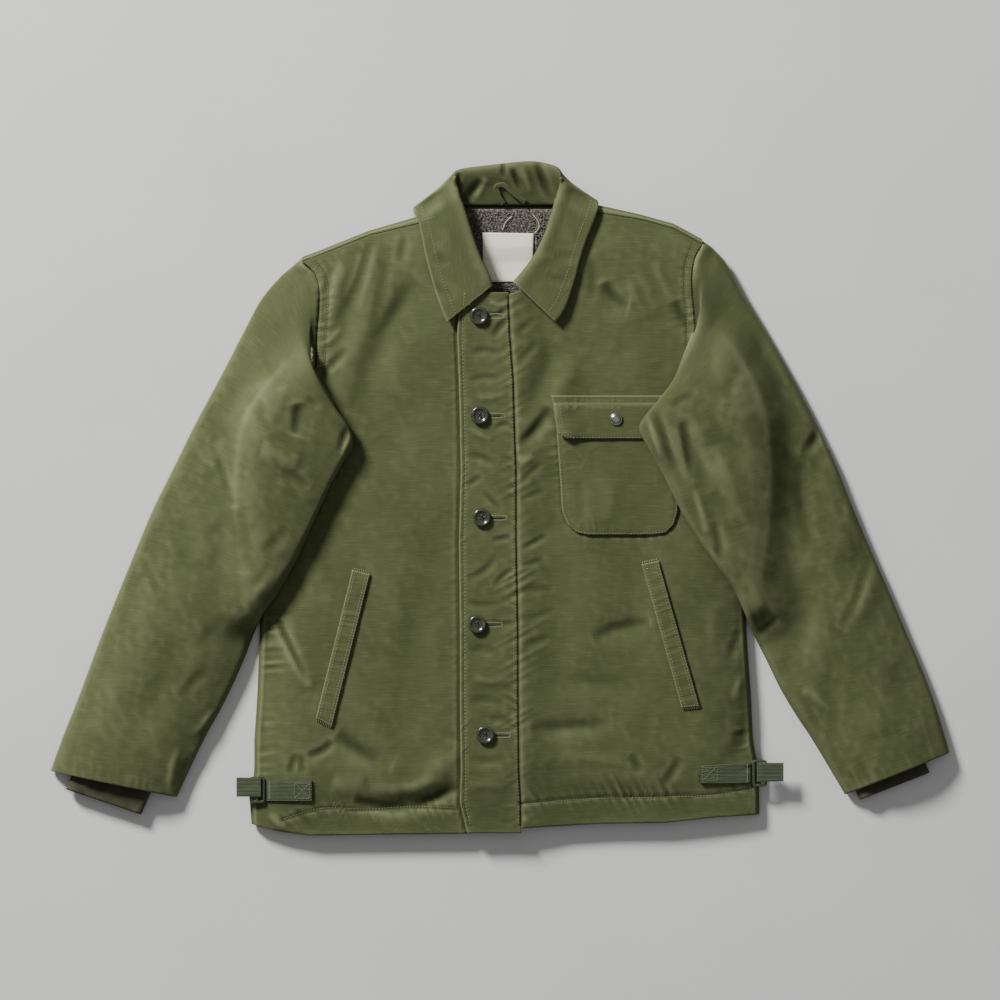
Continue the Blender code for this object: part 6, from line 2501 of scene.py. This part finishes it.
@dataclass
class Jacket:
    """The whole jacket, built from its body outwards.

    Attributes:
        wardrobe: Its finishes.
        lines: Its seam lines.
    """

    wardrobe: Wardrobe = field(default_factory=Wardrobe)
    lines: Lines = field(default_factory=Lines)

    def build_body(self) -> None:
        """Make the fronts, the fly, the back, and what is sewn on them."""
        cloth = self.wardrobe.made[Slot.SHELL]
        creases = BODY_CREASES + FINE_CREASES
        right = BodyForm(Relief(creases, self.lines.right_seams(), 0.8, 5))
        left = BodyForm(Relief(creases, self.lines.left_seams(), 0.8, 5))

        def under_fly(x: Array, y: Array) -> Array:
            """Height of the right front, which runs on under the fly."""
            under = soft_step(0.0, 3.0, x - fly_edge_x(y) + 5.0)
            return right.front(x, y) * (1 - under) + (left.front(x, y) - 1.2) * under

        edge = offset_line(self.lines.fly_edge, -4.0)
        sewn = Seam(self.lines.fly_seam, 6.0, 0.7, 9.0, -0.5, 0.3, 42)
        strip = Relief(FLY_CREASES, (Seam(edge, 2.6, 0.55, 3.2, 1.0, 0.7, 41), sewn), 0.5, 44)
        self.front_right = Front(RIGHT_HALF, under_fly, (330.0, 690.0)).build(cloth)
        self.front_left = Front(LEFT_HALF, left.lap, (310.0, 690.0)).build(cloth)
        self.fly = FlyFacing(left.lap, strip).build(cloth)
        self.back = Back(right.front).build(cloth)
        self.right_height = right.front
        self.ground = Ground(self.front_right, self.front_left, self.back, self.fly)

    def build_pocket(self) -> None:
        """Make the chest pocket and its flap."""
        cloth = self.wardrobe.made[Slot.SHELL]
        ring = Lines.ring(POCKET, 3.0)
        folds = (
            Crease(84, 20, 92, -4, 88, -26, 6, -1.0), Crease(150, 40, 162, 10, 158, -20, 8, -1.0),
            Crease(118, 30, 124, 0, 118, -28, 9, 0.8), Crease(176, 60, 182, 20, 178, -10, 5, -0.9),
            Crease(72, 52, 82, 40, 90, 36, 5, -0.9), Crease(104, 56, 110, 40, 108, 20, 7, -0.8),
        )
        relief = Relief(folds, (Seam(ring, 5.0, 0.6, 8.0, 0.2, 0.9, 51),), 0.6, 52)
        patch = Laid(
            "chest_pocket", Slot.SHELL, pocket_plan(POCKET, 92, 84), POCKET_WALL, (135.0, 150.0), relief,
            share=0.93, on=("front_left",), crown=0.6,
        )
        self.ground.add(patch.build(self.ground, cloth))
        head = np.array([(56.0, 110.0), (199.0, 110.0)])
        low = np.array([(57.0, 103.0), (199.0, 103.0)])
        folds = (Crease(80, 96, 92, 84, 96, 72, 5, -0.8), Crease(170, 98, 160, 88, 158, 74, 6, -0.7))
        seams = (Seam(head, 3.2, 0.6, 3.5, 0.0, 0.8, 61), Seam(low, 3.6, 0.7, 5.0, 0.0, 0.9, 62))
        flap = Laid(
            "pocket_flap", Slot.SHELL, pocket_plan(FLAP, 44, 100), POCKET_WALL, (144.0, 50.0),
            Relief(folds, seams, 0.5, 63),
            lifts=((66.0, 70.0, 17.0, 4.5), (196.0, 72.0, 15.0, 2.5), (60.0, 92.0, 12.0, 2.0)),
            share=0.96, on=("chest_pocket",), soften=4, crown=0.8,
        )
        self.ground.add(flap.build(self.ground, cloth))

    def build_sleeves(self) -> None:
        """Make both sleeves and their inner cuffs."""
        cloth, knit = self.wardrobe.made[Slot.SHELL], self.wardrobe.made[Slot.CUFF]
        folds = SLEEVE_CREASES + FINE_SLEEVE_CREASES
        sides = (
            (RIGHT_HALF, SLEEVE_RIGHT, self.lines.arm_right, CUFF_RIGHT, self.right_height),
            (
                LEFT_HALF, SLEEVE_LEFT, self.lines.arm_left, CUFF_LEFT,
                lambda x, y: self.ground.over(x, y, 6.0),
            ),
        )
        for half, table, armhole, cuff, height in sides:
            hem = np.array([table[-1][:2], table[-1][2:4]], float)
            seams = (Seam(armhole, 6.5, 0.9, 18.0, 0.1, 0.3, 71), Seam(hem, 5.0, 0.5, 12.0, 0.1, 0.0, 72))
            Sleeve(half, table, Relief(folds, seams, 1.1, 75)).build(height, cloth)
            InnerCuff(half.name, cuff).build(knit)

    def build_neck(self) -> None:
        """Make the collar and what lies inside the neck."""
        made = self.wardrobe.made
        self.collar = Collar()
        collar = self.collar.build(self.ground, made[Slot.SHELL])
        inside = Ground(self.back)
        lining = Laid(
            "neck_lining", Slot.PILE, patch_plan(LINING, 64, 80), LINING_WALL, (122.0, 94.0),
            Relief(uneven=0.7, seed=81), on=("back",),
        ).build(inside, made[Slot.PILE])
        inside.add(lining)
        Tufts().build(inside, made[Slot.PILE])
        label = Laid(
            "neck_label", Slot.LABEL, patch_plan(LABEL, 40, 40), LABEL_WALL, (55.0, 54.0),
            Relief(uneven=0.3, seed=83), on=("neck_lining",), soften=8,
        ).build(inside, made[Slot.LABEL])
        inside.add(label)
        rows = Stitching("label_stitches", inside)
        ring = np.array(LABEL, float).reshape(4, 2)
        middle = ring.mean(axis=0)
        ring = middle + (ring - middle) * 0.93
        rows.row(np.vstack([ring, ring[:1]]), 2.2, 1.5, 0.5)
        rows.build(self.wardrobe.cream_thread, Slot.LABEL)
        lift = np.array([0.0, 0.0, 1.2])
        for name, spots in (
            ("label_thread_1", ((3, 295), (6, 303), (13, 310))),
            ("label_thread_2", ((36, 312), (42, 304), (43, 298), (38, 291))),
        ):
            points = np.array([(x, y, inside.height(x, y)) for x, y in spots]) + lift
            strand(name, points, 0.8, self.wardrobe.cream_thread, Slot.LABEL)
        stand = Ground(collar)
        line = along([tuple(spot) for spot in HANGER], evenly(60))
        step = np.gradient(line, axis=0)
        step /= np.linalg.norm(step, axis=1)[:, None]
        side = np.column_stack([-step[:, 1], step[:, 0]]) * HANGER_WIDE / 2
        share = np.linspace(1.0, -1.0, 9)[None, :, None]
        plan = line[:, None, :] + side[:, None, :] * share
        hanger = Laid("hanger_loop", Slot.WEBBING, plan, 1.2, (HANGER_WIDE, 70.0), soften=8, on=("collar",))
        hanger.build(stand, made[Slot.SHELL])
        self.ground.add(collar)

    def build_welts(self) -> None:
        """Make the welts of the hand pockets."""
        for name, patch in (("welt_right", WELT_RIGHT), ("welt_left", WELT_LEFT)):
            plan = patch_plan(patch, 130, 18)
            middle = (plan[:, 0] + plan[:, -1]) / 2
            seams = (Seam(middle, 8.0, 0.55, 12.0, 0.0, 0.0, 91), Seam(middle, 3.0, 0.25, 12.0, 0.1, 0.0, 92))
            relief = Relief((), seams, 0.3)
            on = ("front_" + name[5:],)
            welt = Laid(name, Slot.SHELL, plan, WELT_WALL, (20.0, 172.0), relief, soften=3, on=on, crown=0.6)
            self.ground.add(welt.build(self.ground, self.wardrobe.made[Slot.SHELL]))

    def build_straps(self) -> None:
        """Make the waist straps, their buckles and the webbing drawn through them."""
        made = self.wardrobe.made
        sets = (
            ("right", STRAP_RIGHT, BUCKLE_RIGHT, WEB_END_RIGHT),
            ("left", STRAP_LEFT, BUCKLE_LEFT, WEB_END_LEFT),
        )
        for name, strap, slide, end in sets:
            piece = Laid(
                f"strap_{name}", Slot.WEBBING, patch_plan(strap, 34, 70), WEB_WALL, (52.0, 23.0),
                Relief(uneven=0.5, seed=95), soften=5, on=(f"front_{name}",),
            ).build(self.ground, made[Slot.WEBBING])
            x = np.linspace(slide.x0, slide.x1, 9)[None, :]
            y = np.linspace(slide.y0, slide.y1, 9)[:, None]
            self.ground.add(piece)
            base = float(self.ground.over(x, y, 1.0).max()) + REST_GAP
            buckle = Buckle(f"buckle_{name}", slide)
            self.ground.add(buckle.build(base, made[Slot.STEEL]))
            plan = patch_plan(end, 30, 44)
            top = base + buckle.wall + REST_GAP + WEB_WALL
            wave = 0.35 * field_noise(plan[..., 0] / 8, plan[..., 1] / 8, 97)
            sheet = Sheet(f"web_end_{name}_cloth", np.dstack([plan, top + wave]), WEB_WALL)
            web = dress(sheet.build(made[Slot.WEBBING]), Slot.WEBBING, f"web_end_{name}")
            self.ground.add(web)

    def build_fastenings(self) -> None:
        """Make the buttons, the buttonholes and the snap."""
        made = self.wardrobe.made
        holes = Stitching("buttonhole_stitches", self.ground)
        slits = []
        for index, centre in enumerate(BUTTONS, 1):
            base = float(self.ground.over(centre.x, centre.y, 9.2)) + REST_GAP
            Turned(f"button_{index}", DISH, centre, Slot.RESIN, holes=HOLES_OUT).build(base, made[Slot.RESIN])
            self.sew_button(index, centre, base)
            start = centre.x + HOLE_START
            places = np.linspace(start, start + HOLE_LONG, 15)
            for k, x in enumerate(places):
                open_by = 1.0 + 0.5 * math.sin(math.pi * k / 14)
                for side in (-1, 1):
                    y = centre.y - 0.5 + side * open_by
                    holes.stitch((x, y), (x + 0.25, y + side * 2.1), 0.95)
            slits.append((start, centre.y - 0.5))
        for start, y in slits:
            x = start + HOLE_LONG + 0.3
            for j in range(6):
                holes.stitch((x + 0.5, y - 2.4 + j), (x + 2.4, y - 2.6 + j), 0.9)
        holes.build(self.wardrobe.thread, Slot.SHELL)
        self.cut_slits(slits)
        base = float(self.ground.over(SNAP.x, SNAP.y, 5.9)) + REST_GAP
        Turned("pocket_snap", DOME, SNAP, Slot.NICKEL).build(base, made[Slot.NICKEL])

    def sew_button(self, index: int, centre: Spot, base: float) -> None:
        """Draw the thread through one button's holes.

        Args:
            index: The button's number.
            centre: Its place.
            base: The height that it stands on.
        """
        web = self.wardrobe.made[Slot.WEBBING]
        for number, sign in ((1, 1.0), (2, -1.0)):
            start, end = sign * hole_place(0, HOLES_OUT), sign * hole_place(1, HOLES_OUT)
            line = [(*(np.array(centre) + start * (1 - t) + end * t), base + z) for t, z in THREAD_RISE]
            strand(f"button_{index}_thread_{number}", np.array(line), 0.9, web, Slot.WEBBING)

    def cut_slits(self, slits: Sequence[tuple[float, float]]) -> None:
        """Lay the openings of the buttonholes, in the dark cuff cloth as painted shade inside them.

        Args:
            slits: The start of each one.
        """
        points, faces = [], []
        share = evenly(15)
        for x0, y0 in slits:
            base = len(points)
            for t in share:
                x, half = x0 + HOLE_LONG * t, 0.75 * math.sin(math.pi * t) ** 0.5 + 0.05
                z = self.ground.height(x, y0) + 0.12
                points += [(x, y0 - half, z), (x, y0 + half, z), (x, y0, z - 0.6)]
            for k in range(len(share) - 1):
                a = base + 3 * k
                faces += [(a, a + 3, a + 4, a + 1), (a, a + 2, a + 5, a + 3), (a + 1, a + 4, a + 5, a + 2)]
            last = base + 3 * (len(share) - 1)
            faces += [(base, base + 1, base + 2, base + 2), (last, last + 2, last + 1, last + 1)]
        quads = np.array([f for f in faces if f[2] != f[3]])
        tips = np.array([f[:3] for f in faces if f[2] == f[3]])
        # The dark cuff cloth stands in for the shade inside the slits: painted shade.
        dark = self.wardrobe.made[Slot.CUFF]
        dress(mesh_piece("buttonhole_slit_shade", np.array(points), [quads, tips], dark), Slot.CUFF)

    def sew(self) -> None:
        """Sew every visible row of stitches."""
        lines = self.lines
        body = Stitching("shell_stitches", self.ground)
        body.row(offset_line(lines.fly_edge, -5.5), 3.8, 2.8, 1.0)
        body.row(offset_line(lines.fly_seam, 2.2), 3.6, 2.6)
        for armhole, sign, gaps in ((lines.arm_right, -1, (2.0, 9.0)), (lines.arm_left, 1, (2.0, 8.0))):
            for gap in gaps:
                body.row(offset_line(armhole, sign * gap))
        body.row(offset_line(lines.shoulder_right, 2.0))
        body.row(offset_line(lines.shoulder_left, 2.0))
        body.row(lines.hem_stitch)
        body.row(offset_line(lines.band, -2.0))
        body.row(Lines.ring(POCKET, 1.6)[1:-1])
        left = np.array([(row.left + 8.0, row.y) for row in FLAP], float)
        body.row(left[:-1])
        flap_ring = Lines.ring(FLAP, 1.8)
        body.row(flap_ring)
        for y in (111.2, 104.0):
            body.row(np.array([(60.0, y), (196.0, y)]), 3.0, 2.2, 0.9)
        for patch in (WELT_RIGHT, WELT_LEFT):
            corners = np.array(patch, float).reshape(4, 2)
            middle = corners.mean(axis=0)
            unit = (corners[2] + corners[3] - corners[0] - corners[1]) / 2
            unit /= np.linalg.norm(unit)
            side = np.array([unit[1], -unit[0]])
            for inset in (1.3, 4.3):
                for first, last, sign in ((0, 3, 1), (1, 2, -1)):
                    line = corners[[first, last]] + side * sign * inset
                    body.row(np.linspace(line[0] + unit * 2, line[1] - unit * 2, 12), 3.2, 2.4)
            for first, last, sign in ((0, 1, 1), (3, 2, -1)):
                line = corners[[first, last]] + unit * sign * 1.5
                body.row(np.linspace(line[0], line[1], 6), 2.6, 2.0)
                for k in range(9):
                    place = line[0] + (line[1] - line[0]) * (k + 1) / 10 - unit * sign * 4.5
                    body.stitch(place, place + unit * sign * 3.2, 1.0)
        for run in self.runs(self.collar.angle > 15):
            body.row(self.collar.inside[run], 3.6, 2.7)
        body.build(self.wardrobe.thread, Slot.SHELL)
        self.sew_straps()

    @staticmethod
    def runs(flags: Array) -> list[slice]:
        """Unbroken runs of true flags."""
        edges = np.flatnonzero(np.diff(np.concatenate([[0], flags.astype(int), [0]])))
        return [slice(a, b) for a, b in zip(edges[::2], edges[1::2]) if b - a > 3]

    def sew_straps(self) -> None:
        """Sew the straps down with a box and a cross, and fray their ends."""
        webs = Stitching("strap_stitches", self.ground)
        for strap, inner in ((STRAP_RIGHT, -1), (STRAP_LEFT, 1)):
            corners = np.array(strap, float).reshape(4, 2)
            low, high = corners.min(axis=0) + 2.2, corners.max(axis=0) - 2.2
            near = high[0] if inner < 0 else low[0]
            far = near + inner * 17
            box = np.array([(near, low[1] + 1), (far, low[1] + 1), (far, high[1] - 1), (near, high[1] - 1)])
            webs.row(box[[0, 1, 2, 3, 0]], 2.8, 2.1)
            webs.row(box[[0, 2]], 2.8, 2.1)
            webs.row(box[[1, 3]], 2.8, 2.1)
            outer = low[0] + 1 if inner < 0 else high[0] - 1
            for k in range(18):
                y = low[1] + (high[1] - low[1]) * k / 17
                webs.stitch((outer + inner * -1.2, y), (outer + inner * 1.2, y), 0.9)
        webs.build(self.wardrobe.thread, Slot.WEBBING)
        rng = np.random.default_rng(17)
        for strap, x, lean in ((STRAP_RIGHT, -206.0, 1.0), (STRAP_LEFT, 220.0, -1.0)):
            for k in range(7):
                y = strap.y0 + 2 + (strap.y3 - strap.y0 - 4) * k / 6
                points = []
                for t in (0.0, 0.4, 1.0):
                    px = x + lean * (t * rng.uniform(2.5, 5.0) - 1.0)
                    py = y + t * rng.uniform(-1.5, 1.5)
                    points.append((px, py, self.ground.height(px, py) + 0.5 + 0.5 * t))
                strand(f"fray_{'right' if lean > 0 else 'left'}_{k}", np.array(points), 0.5,
                       self.wardrobe.made[Slot.WEBBING], Slot.WEBBING)


@dataclass
class Studio:
    """The floor, the lights and the camera.

    Attributes:
        high: The camera's height above the jacket.
        lens: Its focal length.
        centre: Where it looks on the plan.
        sky: Strength of the even light.
        key: Power of the soft key.
        fill: Power of the overhead fill.
        floor: Half the floor's width in millimetres.
        floor_z: The floor's height in millimetres.
    """

    high: float = 6.111
    lens: float = 200.0
    centre: tuple[float, float] = (0.0, -0.00165)
    sky: float = 0.24
    key: float = 800.0
    fill: float = 4.0
    floor: float = 3000.0
    floor_z: float = -0.2

    def build(self) -> None:
        """Set the studio up."""
        graph = Graph("pale_floor")
        place = graph.add("TexCoord").outputs["Object"]
        grain = graph.noise(place, (6.0, 6.0, 6.0), 3.0)
        graph.link(graph.mix(graph.ramp(grain, 0.3, 0.7), (0.62, 0.62, 0.605), (0.64, 0.64, 0.625)),
                   graph.shader.inputs["Base Color"])
        graph.set(Roughness=0.9, Specular_IOR_Level=0.1)
        around = ((-1, -1), (1, -1), (1, 1), (-1, 1))
        corners = np.array([(self.floor * x, self.floor * y, self.floor_z) for x, y in around])
        floor = mesh_piece("floor", corners, [np.array([(0, 1, 2, 3)])], graph.material)
        world = bpy.data.worlds.new("studio")
        world.use_nodes = True
        world.node_tree.nodes["Background"].inputs[0].default_value = (0.97, 0.99, 1.0, 1.0)
        world.node_tree.nodes["Background"].inputs[1].default_value = self.sky
        bpy.context.scene.world = world
        for name, spot, size, power in (
            ("key", (-3.3, 3.9, 2.5), 1.3, self.key),
            ("fill", (0.3, -0.2, 2.6), 2.4, self.fill),
        ):
            light = bpy.data.lights.new(name, "AREA")
            light.shape, light.size, light.energy = "DISK", size, power
            lamp = bpy.data.objects.new(name, light)
            lamp.location = spot
            lamp.rotation_euler = (Vector((0.0, 0.0, 0.0)) - Vector(spot)).to_track_quat("-Z", "Y").to_euler()
            link(lamp)
        camera = bpy.data.cameras.new("camera")
        camera.lens, camera.sensor_width = self.lens, 36.0
        camera.clip_end = 20.0
        viewer = bpy.data.objects.new("camera", camera)
        viewer.location = (*self.centre, self.high)
        link(viewer)
        bpy.context.scene.camera = viewer


def main() -> None:
    """Build the jacket and its studio in order."""
    logging.basicConfig(level=logging.INFO, format="%(name)s: %(message)s", stream=sys.stdout)
    jacket = Jacket()
    jacket.build_body()
    jacket.build_pocket()
    jacket.build_sleeves()
    jacket.build_neck()
    jacket.build_welts()
    jacket.build_straps()
    jacket.build_fastenings()
    jacket.sew()
    Studio().build()
    bpy.context.view_layer.update()


if __name__ == "__main__":
    main()
